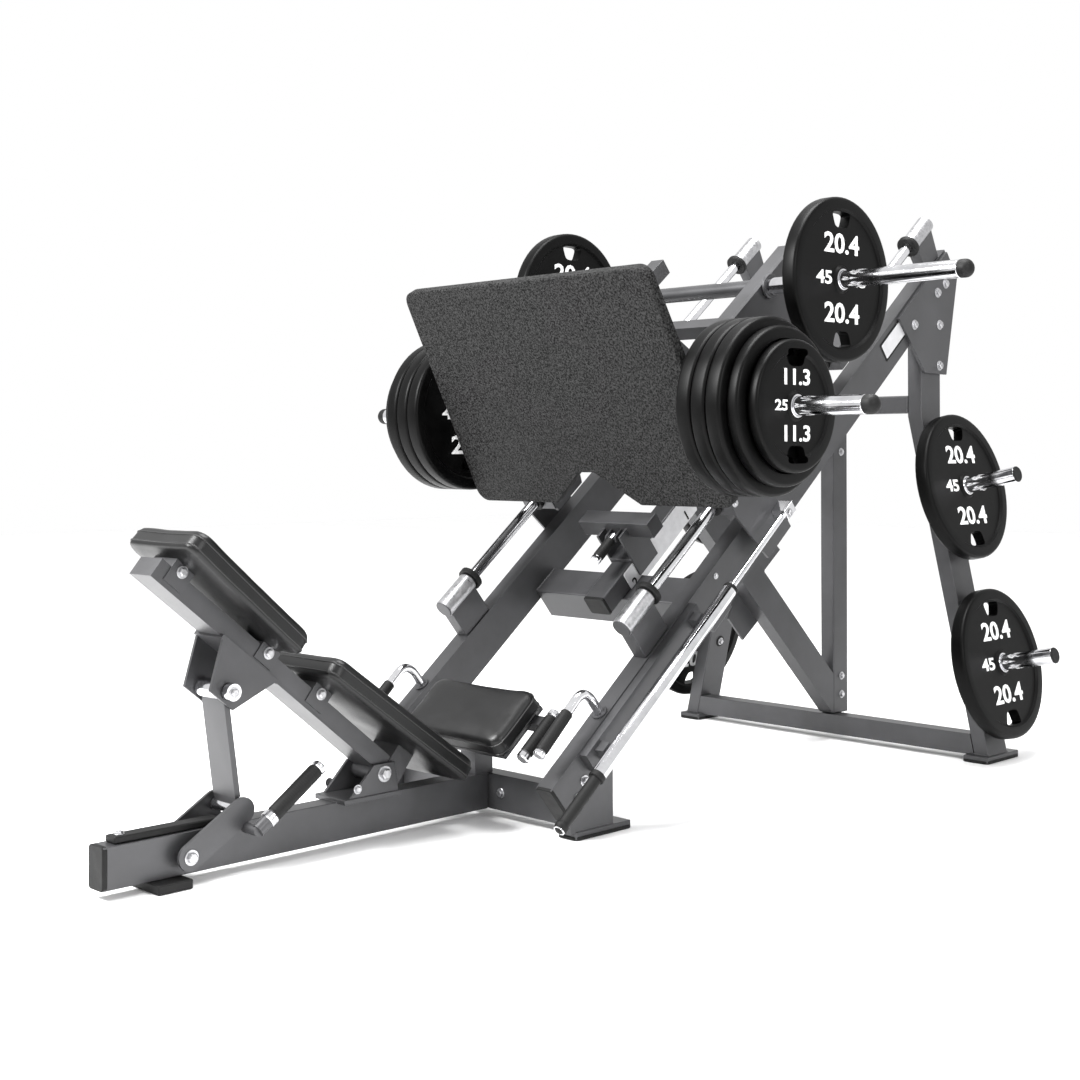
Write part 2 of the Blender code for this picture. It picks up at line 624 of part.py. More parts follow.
def pad(name, ends, width, thickness, place_xz):
    """A plain closed pad under the line between two surface points."""
    (u0, v0), (u1, v1) = ends
    drop = Vector((-(v1 - v0), u1 - u0)).normalized() * thickness
    if drop.y > 0:
        drop = -drop
    corners = [(u0, v0), (u1, v1), (u1 + drop.x, v1 + drop.y), (u0 + drop.x, v0 + drop.y)]
    body = prism(name, [place_xz(*c) for c in corners], -width / 2, width / 2)
    bevel = body.modifiers.new("soft edge", "BEVEL")
    bevel.width, bevel.segments = 0.016, 2
    return keep(body, "upholstery")


def pad_under(ends, u):
    """The backrest height just clear of the underside of a pad at u."""
    (u0, v0), (u1, v1) = ends
    tilt = math.atan2(v1 - v0, u1 - u0)
    return v0 + (u - u0) * math.tan(tilt) - PAD_T / abs(math.cos(tilt)) - GAP


def backrest():
    half = BACK_W / 2
    tube = prism("back_frame", [back_xz(u, v) for u, v in (
        (BACK_U0, 0), (BACK_U1, 0), (BACK_U1, BACK_T), (BACK_U0, BACK_T))], -half, half)
    shapes = [cross_bar("barrel", BACK_PIVOT, -0.0455, 0.0455, 0.022)]
    for u, ends in ((0.744, UPPER_PAD), (0.450, UPPER_PAD), (0.270, LOWER_PAD), (-0.028, LOWER_PAD)):
        low, high = u - 0.028, u + 0.028
        corners = ((low, 0.012), (high, 0.012), (high, pad_under(ends, high)), (low, pad_under(ends, low)))
        shapes.append(prism("tab", [back_xz(*c) for c in corners], -half - 0.003, half + 0.003))
    cross = ((0.395, -0.006), (0.580, -0.006), (0.580, 0.004), (0.395, 0.004))
    shapes.append(prism("cross", [back_xz(*c) for c in cross], -CHEEK_Y - CHEEK_T, CHEEK_Y + CHEEK_T))
    for side in (1, -1):
        cheek = ((0.400, -0.004), (0.575, -0.004), (0.530, -0.112), (0.455, -0.112))
        shapes.append(prism("cheek", [back_xz(*c) for c in cheek],
                            *mirrored(CHEEK_Y, CHEEK_Y + CHEEK_T, side)))
    join(tube, *shapes)
    keep(cut(tube, cross_bar("bore", STRUT_TOP, -0.1, 0.1, PIN_R + BORE_GAP, 24)), "frame")
    pad("back_pad_upper", UPPER_PAD, PAD_W, PAD_T, back_xz)
    pad("back_pad_lower", LOWER_PAD, PAD_W, PAD_T, back_xz)


def strut_and_crank():
    top, foot = Vector(STRUT_TOP), Vector(STRUT_FOOT)
    along = (foot - top).normalized()
    across = Vector((-along.y, along.x)) * STRUT_T / 2
    a, b = top + along * 0.006, foot - along * STRUT_CLEAR
    outline = [tuple(a + across), tuple(a - across), tuple(b - across), tuple(b + across)]
    bar = prism("strut", outline, -STRUT_W / 2, STRUT_W / 2)
    pin = cross_bar("pin", STRUT_TOP, -PIN_HALF, PIN_HALF, PIN_R, 24)
    keep(join(bar, pin), "chrome")
    low, high = Vector(CRANK_PIVOT), Vector(STRUT_FOOT)
    reach = (high - low).normalized()
    square = Vector((-reach.y, reach.x)) * CRANK_R
    for side in (1, -1):
        y0, y1 = mirrored(CRANK_Y, CRANK_Y + CRANK_T, side)
        outline = [tuple(low + square), tuple(low - square), tuple(high - square), tuple(high + square)]
        arm = prism(f"crank_{side_name(side)}", outline, y0, y1)
        shapes = [cross_bar("eye", low, y0, y1, CRANK_R, 24), cross_bar("eye", high, y0, y1, CRANK_R, 24)]
        inner = mirrored(BEAM_W / 2 + GAP, CRANK_Y + 0.004, side)
        shapes.append(cross_bar("spacer", low, *inner, 0.014))
        stub = mirrored(STRUT_W / 2 + 4 * GAP, CRANK_Y + 0.004, side)
        shapes.append(cross_bar("stub", high, *stub, 0.014))
        if side < 0:
            shapes.append(cross_bar("stub", HANDLE_START, -HANDLE_Y - 0.004, -CRANK_Y - 0.002, 0.012))
            shapes.append(cylinder("grip", pt(HANDLE_START[0], -HANDLE_Y, HANDLE_START[1]),
                                   pt(HANDLE_END[0], -HANDLE_Y, HANDLE_END[1]), 0.0155))
        keep(join(arm, *shapes), "frame")


def seat():
    pad("seat_pad", ((0.0, 0.0), (SEAT_LENGTH, 0.0)), SEAT_W, SEAT_T,
        lambda u, v: seat_xz(u, -v))
    under = SEAT_T + GAP
    board = prism("seat_frame", [seat_xz(*c) for c in (
        (0.012, under), (SEAT_LENGTH - 0.020, under), (SEAT_LENGTH - 0.020, under + 0.012),
        (0.012, under + 0.012))], -0.170, 0.170)
    x, z = seat_xz(0.100, under + 0.006)
    top = BEAM_Z + BEAM_H + GAP
    rise = 0.030 * math.tan(SEAT_ANGLE)
    leg = prism("leg", [(x - 0.030, top), (x + 0.030, top), (x + 0.030, z + rise),
                        (x - 0.030, z - rise)], -0.0275, 0.0275)
    arms = [prism("arm", [seat_xz(*c) for c in (
        (0.040, under + 0.004), (0.068, under + 0.004), (0.068, under + 0.034), (0.040, under + 0.034))],
        -0.212, 0.212)]
    for side in (1, -1):
        low, high = seat_xz(0.165, under + 0.012), seat_xz(0.020, under + 0.012)
        y = side * 0.218
        arms.append(cylinder("grip", pt(low[0], y, low[1]), pt(high[0], y, high[1]), 0.0155))
    keep(join(board, leg, *arms), "frame")


def hand_grips():
    """Bent tubes that stand on the rails beside the seat."""
    route = [(-0.320, RAIL_TOP + GAP), (-0.320, -0.052), (-0.328, -0.030), (-0.345, -0.020),
             (-0.375, -0.020), (-0.535, -0.030)]
    for side in (1, -1):
        curve = bpy.data.curves.new(f"hand_grip_{side_name(side)}", "CURVE")
        curve.dimensions = "3D"
        curve.bevel_depth, curve.bevel_resolution = 0.0125, 2
        curve.use_fill_caps = True
        spline = curve.splines.new("POLY")
        spline.points.add(len(route) - 1)
        for point, (s, h) in zip(spline.points, route):
            x, z = rail_xz(s, h)
            point.co = (*pt(x, side * RAIL_Y, z), 1.0)
        obj = bpy.data.objects.new(f"hand_grip_{side_name(side)}", curve)
        PARTS.objects.link(obj)
        keep(obj, "chrome")


def stop():
    """The saddle that slides on the stop tube, its catch bar, and the handle that lifts its pin."""
    half, skin = STOP_W / 2 + 0.0008, 0.008
    top = STOP_TOP + GAP
    sides = [rail_prism("side", SADDLE_S0 + 0.003, SADDLE_S1 - 0.003, STOP_TOP - STOP_T + 0.006, -0.040,
                        *mirrored(half, half + skin, side)) for side in (1, -1)]
    deck = rail_prism("stop_saddle", SADDLE_S0, SADDLE_S1, top, top + SADDLE_T, -half - 0.004,
                      half + 0.004)
    bar = rail_prism("bar", 0.276, 0.326, -0.070, -0.020, -0.130, 0.130)
    keep(join(deck, *sides, bar), "frame")
    grip = rail_bar("stop_handle", 0.158, 0.262, 0.0, -0.056, 0.013)
    keep(grip, "rubber")


MATERIALS = {}
clear_scene()
PARTS = new_collection("leg_press")
for finish in COLOURS:
    MATERIALS[finish] = make_material(finish)
main_beam()
front_end()
rails()
guides()
mid_frame()
tower()
storage()
sled()
damper()
backrest()
strut_and_crank()
seat()
hand_grips()
stop()
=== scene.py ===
"""Looks of a plate-loaded leg press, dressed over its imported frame.

The frame gives every place and size. Each sub-assembly is a class that makes its own pieces, and
each finish is a frozen dataclass that makes one procedural material. All lengths are in metres.
"""

from __future__ import annotations

import json
import logging
import math
from dataclasses import dataclass, field
from enum import Enum
from typing import Sequence

import bmesh
import bpy
import numpy as np
from mathutils import Matrix, Vector

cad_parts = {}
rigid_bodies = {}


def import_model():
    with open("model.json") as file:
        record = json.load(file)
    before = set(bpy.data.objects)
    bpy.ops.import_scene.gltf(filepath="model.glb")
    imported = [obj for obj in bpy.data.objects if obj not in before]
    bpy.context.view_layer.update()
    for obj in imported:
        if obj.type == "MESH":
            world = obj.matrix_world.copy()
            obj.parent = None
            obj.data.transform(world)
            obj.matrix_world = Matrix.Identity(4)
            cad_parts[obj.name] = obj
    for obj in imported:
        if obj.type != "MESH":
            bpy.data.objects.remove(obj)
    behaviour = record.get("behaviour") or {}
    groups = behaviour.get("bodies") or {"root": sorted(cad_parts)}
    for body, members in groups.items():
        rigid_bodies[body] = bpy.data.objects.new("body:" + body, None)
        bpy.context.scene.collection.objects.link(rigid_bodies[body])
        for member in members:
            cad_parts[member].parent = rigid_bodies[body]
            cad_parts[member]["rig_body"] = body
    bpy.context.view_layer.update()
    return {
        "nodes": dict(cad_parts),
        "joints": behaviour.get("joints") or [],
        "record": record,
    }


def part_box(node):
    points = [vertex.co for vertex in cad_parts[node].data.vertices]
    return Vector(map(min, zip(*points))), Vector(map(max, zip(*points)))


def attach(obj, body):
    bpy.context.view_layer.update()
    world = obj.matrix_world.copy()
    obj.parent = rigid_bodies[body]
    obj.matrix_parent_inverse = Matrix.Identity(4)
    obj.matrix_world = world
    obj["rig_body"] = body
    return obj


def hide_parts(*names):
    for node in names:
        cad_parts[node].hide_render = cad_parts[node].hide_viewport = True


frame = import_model()
LOG = logging.getLogger("leg_press")
Array = np.ndarray
MM = 0.001


def linear(code: str) -> tuple[float, float, float, float]:
    """Turns an sRGB hex colour into linear RGBA.

    Args:
        code: six hex digits, with or without a leading hash.

    Returns:
        The linear colour with alpha 1.
    """
    digits = code.lstrip("#")
    srgb = np.array([int(digits[i:i + 2], 16) for i in (0, 2, 4)]) / 255.0
    rgb = np.where(srgb <= 0.04045, srgb / 12.92, ((srgb + 0.055) / 1.055) ** 2.4)
    return (*map(float, rgb), 1.0)


def add_node(tree: bpy.types.NodeTree, kind: str, inputs: dict | None = None,
             **settings) -> bpy.types.Node:
    """Adds a shader node with its settings, and links or sets its inputs.

    Args:
        tree: the material's node tree.
        kind: the node's type name, without the ShaderNode prefix.
        inputs: input name or index to a socket to link, or a value to set.
        settings: the node's own properties.

    Returns:
        The new node.
    """
    node = tree.nodes.new("ShaderNode" + kind)
    for key, value in settings.items():
        setattr(node, key, value)
    for key, value in (inputs or {}).items():
        if isinstance(value, bpy.types.NodeSocket):
            tree.links.new(value, node.inputs[key])
        else:
            node.inputs[key].default_value = value
    return node


class Pattern(Enum):
    """What the surface's fine relief is made of."""

    NOISE = "noise"
    CELLS = "cells"


@dataclass(frozen=True)
class Finish:
    """One surface: two close colours, a relief pattern at a real size, and a gloss that varies.

    Args:
        name: the material's name.
        slot: the record's material slot.
        dark, light: the two colours that drift into each other.
        drift_mm: the size of that colour drift.
        rough: the lowest and highest roughness.
        metallic: 0 for a dielectric, 1 for bare metal.
        grain_mm: the size of the relief.
        depth_mm: how deep the relief is.
        relief: the pattern of the relief.
        contrast: how sharply the two colours part.
        specular: the dielectric's specular level.
    """

    name: str
    slot: str
    dark: str
    light: str
    drift_mm: float
    rough: tuple[float, float]
    metallic: float
    grain_mm: float
    depth_mm: float
    relief: Pattern = Pattern.NOISE
    contrast: float = 0.25
    specular: float = 0.5

    def build(self) -> bpy.types.Material:
        """Makes the material, or returns it if it is made already."""
        known = bpy.data.materials.get(self.name)
        if known:
            return known
        material = bpy.data.materials.new(self.name)
        material.use_nodes = True
        tree = material.node_tree
        shader = tree.nodes["Principled BSDF"]
        place = add_node(tree, "TexCoord").outputs["Object"]
        drift = add_node(tree, "TexNoise", {"Vector": place, "Scale": 1 / (self.drift_mm * MM),
                                            "Detail": 5.0, "Roughness": 0.6})
        low, high = 0.5 - self.contrast, 0.5 + self.contrast
        spread = add_node(tree, "MapRange", {"Value": drift.outputs[0], "From Min": low,
                                             "From Max": high})
        colour = add_node(tree, "Mix", {0: spread.outputs[0], 6: linear(self.dark),
                                        7: linear(self.light)}, data_type="RGBA")
        grain = self.grain(tree, place)
        gloss = add_node(tree, "MapRange", {"Value": spread.outputs[0], "To Min": self.rough[0],
                                            "To Max": self.rough[1]})
        bump = add_node(tree, "Bump", {"Height": grain, "Strength": 1.0,
                                       "Distance": self.depth_mm * MM})
        tree.links.new(colour.outputs[2], shader.inputs["Base Color"])
        tree.links.new(gloss.outputs[0], shader.inputs["Roughness"])
        tree.links.new(bump.outputs[0], shader.inputs["Normal"])
        shader.inputs["Metallic"].default_value = self.metallic
        shader.inputs["Specular IOR Level"].default_value = self.specular
        return material

    def grain(self, tree: bpy.types.NodeTree, place: bpy.types.NodeSocket) -> bpy.types.NodeSocket:
        """The relief's height socket: soft noise, or the cells of grain and grit."""
        scale = 1 / (self.grain_mm * MM)
        if self.relief is Pattern.CELLS:
            cells = add_node(tree, "TexVoronoi", {"Vector": place, "Scale": scale})
            return cells.outputs["Distance"]
        noise = add_node(tree, "TexNoise", {"Vector": place, "Scale": scale, "Detail": 3.0})
        return noise.outputs[0]


# Metallic powder coat over steel: satin, a faint orange peel, and a slow drift in tone.
POWDER = Finish("metallic_grey_powder_coat", "frame", "#3e3e3f", "#4d4d4f", 180,
                (0.34, 0.46), 0.55, 3.0, 0.05)
# Hard chrome on ground bar: near mirror, with faint rub marks along the stroke.
CHROME = Finish("hard_chrome_on_steel", "chrome", "#c9c9cc", "#e6e6e8", 60,
                (0.06, 0.17), 1.0, 2.0, 0.01)
# Bright zinc on pressed fasteners: duller and cloudier than the chrome.
ZINC = Finish("zinc_plated_fasteners", "chrome", "#9a9a9c", "#c6c6c8", 9,
              (0.24, 0.42), 1.0, 1.0, 0.02)
# Moulded black rubber: matt with a fine tooth.
RUBBER = Finish("moulded_black_rubber", "rubber", "#060606", "#0e0e0e", 30,
                (0.48, 0.66), 0.0, 1.6, 0.08, specular=0.25)
# Grained vinyl over foam: small cells that break up a soft highlight.
VINYL = Finish("black_grained_vinyl", "upholstery", "#050505", "#0c0c0d", 70,
               (0.34, 0.46), 0.0, 2.2, 0.12, Pattern.CELLS, specular=0.32)
# Thread and piping of the same vinyl, a shade lighter where it rubs.
PIPING = Finish("vinyl_piping", "upholstery", "#050505", "#121213", 12,
                (0.36, 0.5), 0.0, 1.2, 0.06)
# Anti-slip grit in black epoxy, drawn at 5 mm so that it shows.
GRIT = Finish("anti_slip_grit", "foot_plate", "#020202", "#343434", 5.0,
              (0.62, 0.92), 0.0, 5.0, 1.1, Pattern.CELLS, contrast=0.10, specular=0.10)
# Cast urethane over iron: smooth and dark with a low sheen.
URETHANE = Finish("black_urethane", "weight_plate", "#010101", "#050505", 90,
                  (0.34, 0.48), 0.0, 1.8, 0.04, specular=0.10)
# Screen paint in the plates' raised figures.
WHITE = Finish("white_screen_paint", "weight_plate", "#e4e4e4", "#f4f4f4", 8,
               (0.4, 0.55), 0.0, 1.0, 0.02)
# Brushed anodised sheet of the range scale.
SHEET = Finish("satin_anodised_sheet", "frame", "#bcbcbe", "#cfcfd1", 25,
               (0.3, 0.42), 0.35, 0.8, 0.01)


def mesh_object(name: str, points: Array, faces: Sequence[Sequence[int]], finish: Finish,
                sharp: float = 35.0) -> bpy.types.Object:
    """Makes a shaded mesh object from points and faces, with doubles merged and normals outwards.

    Args:
        name: the piece's name.
        points: an (n, 3) array in world metres.
        faces: vertex indices of each face.
        finish: the surface it gets.
        sharp: edges bent by more than this many degrees stay crisp.

    Returns:
        The object, at the origin.
    """
    mesh = bpy.data.meshes.new(name)
    rows = np.asarray(points, float).reshape(-1, 3)
    mesh.from_pydata(rows, [], [list(map(int, f)) for f in faces])
    shape = bmesh.new()
    shape.from_mesh(mesh)
    bmesh.ops.remove_doubles(shape, verts=shape.verts, dist=1e-6)
    bmesh.ops.recalc_face_normals(shape, faces=shape.faces)
    shape.to_mesh(mesh)
    shape.free()
    mesh.shade_smooth()
    mesh.set_sharp_from_angle(angle=math.radians(sharp))
    obj = bpy.data.objects.new(name, mesh)
    bpy.context.scene.collection.objects.link(obj)
    mesh.materials.append(finish.build())
    return obj


def grid_faces(rows: int, cols: int, first: int = 0) -> Array:
    """Quads of a grid whose columns close on themselves, as an (n, 4) array."""
    r, c = np.meshgrid(np.arange(rows - 1), np.arange(cols), indexing="ij")
    n = (c + 1) % cols
    quads = np.stack([r * cols + c, r * cols + n, (r + 1) * cols + n, (r + 1) * cols + c], -1)
    return quads.reshape(-1, 4) + first


def basis(direction: Array) -> Array:
    """Three unit rows square to each other, the last along the direction."""
    w = np.asarray(direction, float) / np.linalg.norm(direction)
    seed = np.array([0.0, 0.0, 1.0]) if abs(w[2]) < 0.9 else np.array([1.0, 0.0, 0.0])
    u = np.cross(seed, w)
    u /= np.linalg.norm(u)
    return np.array([u, np.cross(w, u), w])


def turned_points(start: Array, direction: Array, profile: Sequence[tuple[float, float]],
                  sides: int = 32, turn: float = 0.0) -> Array:
    """A profile carried round an axis: point = start + height along it + radius round it.

    Args:
        start: where height is 0.
        direction: the axis.
        profile: (radius, height) pairs.
        sides: columns round the axis.
        turn: the angle of the first column.

    Returns:
        An array of (len(profile), sides, 3).
    """
    u, v, w = basis(direction)
    angle = np.arange(sides) * 2 * math.pi / sides + turn
    ring = np.cos(angle)[:, None] * u + np.sin(angle)[:, None] * v
    shape = np.asarray(profile, float)
    return np.asarray(start, float) + shape[:, :1, None] * ring + shape[:, 1:, None] * w


def turned(name: str, start: Array, direction: Array, profile: Sequence[tuple[float, float]],
           finish: Finish, sides: int = 32) -> bpy.types.Object:
    """A turned piece, whose profile starts and ends on the axis or meets itself."""
    points = turned_points(start, direction, profile, sides)
    return mesh_object(name, points, grid_faces(len(profile), sides), finish)


def rod_profile(radius: float, length: float, chamfer: float) -> list[tuple[float, float]]:
    """A bar with chamfered ends, from the middle of one end to the middle of the other."""
    return [(0, 0), (radius - chamfer, 0), (radius, chamfer), (radius, length - chamfer),
            (radius - chamfer, length), (0, length)]


def ring_profile(inner: float, outer: float, length: float,
                 soft: float) -> list[tuple[float, float]]:
    """A sleeve's section with softened rims, closed on itself."""
    return [(inner, 0), (outer - soft, 0), (outer, soft), (outer, length - soft),
            (outer - soft, length), (inner, length), (inner, 0)]


def rounded_rect(width: float, height: float, radius: float, steps: int = 6) -> Array:
    """Points round a rectangle with arcs at its corners, as an (n, 2) array."""
    arc = np.linspace(0, math.pi / 2, steps)
    corners = []
    for i, (sx, sy) in enumerate(((1, 1), (-1, 1), (-1, -1), (1, -1))):
        centre = np.array([sx * (width / 2 - radius), sy * (height / 2 - radius)])
        a = arc + i * math.pi / 2
        corners.append(centre + radius * np.stack([np.cos(a), np.sin(a)], -1))
    return np.concatenate(corners)


def slab(name: str, centre: Array, u: Array, v: Array, outline: Array, thick: float,
         finish: Finish, soft: float = 0.0015) -> bpy.types.Object:
    """A flat outline given a thickness and an eased edge.

    The surface is the outline scaled by 1 - soft at both faces and full between them, with its
    two faces closed by one polygon each.

    Args:
        name: the piece's name.
        centre: the middle of its first face.
        u, v: the unit vectors of the outline's plane. The thickness grows along u x v.
        outline: (n, 2) points.
        thick: its thickness.
        finish: its surface.
        soft: how far its edges are eased.

    Returns:
        The object.
    """
    u, v = np.asarray(u, float), np.asarray(v, float)
    w = np.cross(u, v)
    reach = np.abs(outline).max(0)
    rows = []
    for inset, height in ((soft, 0.0), (0.0, soft), (0.0, thick - soft), (soft, thick)):
        flat = outline * (1 - inset / reach)
        rows.append(np.asarray(centre) + flat[:, :1] * u + flat[:, 1:] * v + height * w)
    count = len(outline)
    faces = list(grid_faces(4, count)) + [range(count), range(3 * count, 4 * count)]
    return mesh_object(name, np.array(rows), faces, finish)


def carried(name: str, section: Array, path: Array, finish: Finish,
            closed: bool = False) -> bpy.types.Object:
    """A section carried along a path and square to it, turned about one steady normal.

    Args:
        name: the piece's name.
        section: (k, 2) points round the section.
        path: (n, 3) points.
        finish: its surface.
        closed: whether the path returns to its start.

    Returns:
        The object.
    """
    ahead = np.roll(path, -1, 0) - np.roll(path, 1, 0)
    if not closed:
        ahead[0], ahead[-1] = path[1] - path[0], path[-1] - path[-2]
    ahead /= np.linalg.norm(ahead, axis=1)[:, None]
    normal = np.cross(path[-1] - path[0], path[len(path) // 2] - path[0]) if not closed else \
        np.cross(path[0] - path.mean(0), path[len(path) // 4] - path.mean(0))
    if np.linalg.norm(normal) < 1e-9:
        normal = np.array([0.0, 1.0, 0.0])
    normal /= np.linalg.norm(normal)
    side = np.cross(ahead, normal)
    side /= np.linalg.norm(side, axis=1)[:, None]
    rise = np.cross(side, ahead)
    points = (path[:, None] + section[None, :, :1] * side[:, None]
              + section[None, :, 1:] * rise[:, None])
    if closed:
        points = np.concatenate([points, points[:1]])
    count = len(section)
    faces = list(grid_faces(len(points), count))
    if not closed:
        faces += [range(count), range((len(points) - 1) * count, len(points) * count)]
    return mesh_object(name, points, faces, finish)


def circle(radius: float, sides: int = 10) -> Array:
    """Points round a circle, as an (n, 2) array."""
    angle = np.arange(sides) * 2 * math.pi / sides
    return radius * np.stack([np.cos(angle), np.sin(angle)], -1)


def smooth_path(points: Sequence[Array], steps: int = 8) -> Array:
    """A Catmull-Rom curve through the points."""
    p = np.asarray(points, float)
    p = np.concatenate([[2 * p[0] - p[1]], p, [2 * p[-1] - p[-2]]])
    t = np.linspace(0, 1, steps, endpoint=False)[:, None]
    runs = []
    for a, b, c, d in zip(p, p[1:], p[2:], p[3:]):
        runs.append(0.5 * (2 * b + (c - a) * t + (2 * a - 5 * b + 4 * c - d) * t ** 2
                           + (3 * b - a - 3 * c + d) * t ** 3))
    return np.concatenate(runs + [p[-2:-1]])


def dress(obj: bpy.types.Object, body: str, finish: Finish, *nodes: str) -> bpy.types.Object:
    """Puts a piece on its body, and hides the CAD nodes it stands for."""
    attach(obj, body)
    if nodes:
        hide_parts(*nodes)
    LOG.info("%s rides on %s", obj.name, body)
    return obj


def fitted(name: str, body: str, start: Array, way: Array, profile: Sequence[tuple[float, float]],
           finish: Finish, *nodes: str, sides: int = 32) -> bpy.types.Object:
    """Turns a piece and puts it on its body in one step."""
    return dress(turned(name, start, way, profile, finish, sides), body, finish, *nodes)


def plated(name: str, body: str, centre: Array, u: Array, v: Array, outline: Array, thick: float,
           finish: Finish, soft: float = 0.0015) -> bpy.types.Object:
    """Makes a slab and puts it on its body in one step."""
    return dress(slab(name, centre, u, v, outline, thick, finish, soft), body, finish)


def joint_of(name: str) -> dict:
    """The frame's joint of that name."""
    return next(j for j in frame["joints"] if j["name"] == name)


def body_of(node: str) -> str:
    """The body that a CAD node belongs to."""
    return frame["nodes"][node]["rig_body"]


def softened(node: str, finish: Finish, width: float = 0.0035, name: str = "") -> bpy.types.Object:
    """The CAD node's own shape with its edges rolled over, as drawn tube and dressed plate have.

    Args:
        node: the CAD node.
        finish: its surface.
        width: the radius of the rolled edges.
        name: the piece's name, if it isn't the node's own with steel after it.

    Returns:
        The new piece, which stands for the node.
    """
    mesh = frame["nodes"][node].data.copy()
    shape = bmesh.new()
    shape.from_mesh(mesh)
    bmesh.ops.remove_doubles(shape, verts=shape.verts, dist=2e-5)
    bmesh.ops.dissolve_limit(shape, angle_limit=math.radians(0.5), verts=shape.verts,
                             edges=shape.edges)
    shape.to_mesh(mesh)
    shape.free()
    mesh.shade_smooth()
    mesh.set_sharp_from_angle(angle=math.radians(40))
    mesh.materials.clear()
    mesh.materials.append(finish.build())
    obj = bpy.data.objects.new(name or node + "_body", mesh)
    bpy.context.scene.collection.objects.link(obj)
    roll = obj.modifiers.new("rolled edges", "BEVEL")
    roll.width, roll.segments = width, 3
    roll.limit_method, roll.angle_limit = "ANGLE", math.radians(30)
    roll.harden_normals = True
    return dress(obj, body_of(node), finish, node)


@dataclass
class Rail:
    """Coordinates along the guide rods: s up the slope, h square off the rod axis."""

    rod_start: float = -0.0097
    rod_radius: float = 0.0165
    origin: Array = field(init=False)
    along: Array = field(init=False)
    off: Array = field(init=False)
    rod_y: float = field(init=False)

    def __post_init__(self) -> None:
        """Reads the slope from the sled's joint and the origin from the left guide rod."""
        self.along = np.array(joint_of("sled_slide")["axis"], float)
        self.off = np.array([-self.along[2], 0.0, self.along[0]])
        low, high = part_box("guide_rod_left")
        start = np.array([low.x + self.rod_radius * self.along[2], 0.0,
                          low.z + self.rod_radius * self.along[0]])
        self.origin = start - self.along * self.rod_start
        self.rod_y = (low.y + high.y) / 2

    def at(self, s: float, y: float, h: float) -> Array:
        """The world point at s, y and h."""
        return self.origin + self.along * s + self.off * h + np.array([0.0, y, 0.0])


RAIL = Rail()
SIDES = (("left", 1.0), ("right", -1.0))
ACROSS = np.array([0.0, 1.0, 0.0])
UP = np.array([0.0, 0.0, 1.0])


@dataclass
class Fasteners:
    """Hex bolts and washers, gathered into one mesh for each body."""

    points: dict[str, list[Array]] = field(default_factory=dict)
    faces: dict[str, list[Array]] = field(default_factory=dict)

    def add(self, body: str, spot: Array, normal: Array, size: float = 0.009) -> None:
        """Sets a washer and a chamfered hex head on a face.

        Args:
            body: the body it rides on.
            spot: the point on the face.
            normal: the way the head points.
            size: the head's radius across its corners.
        """
        head = [(0, 0.9), (0.75, 0.9), (0.98, 0.74), (1.0, 0.25), (1.0, 0.2), (0, 0.2)]
        washer = [(0, 0.2), (1.35, 0.2), (1.42, 0.14), (1.42, -0.03), (0, -0.03)]
        for profile, sides in ((head, 6), (washer, 20)):
            shape = [(r * size, h * size) for r, h in profile]
            points = turned_points(spot, normal, shape, sides).reshape(-1, 3)
            first = sum(len(p) for p in self.points.get(body, []))
            self.points.setdefault(body, []).append(points)
            self.faces.setdefault(body, []).append(grid_faces(len(shape), sides, first))

    def build(self) -> None:
        """Makes one piece of fasteners for each body."""
        for body, runs in self.points.items():
            faces = [f for part in self.faces[body] for f in part]
            obj = mesh_object(f"bolts_{body}", np.concatenate(runs), faces, ZINC, sharp=25)
            dress(obj, body, ZINC)


BOLTS = Fasteners()


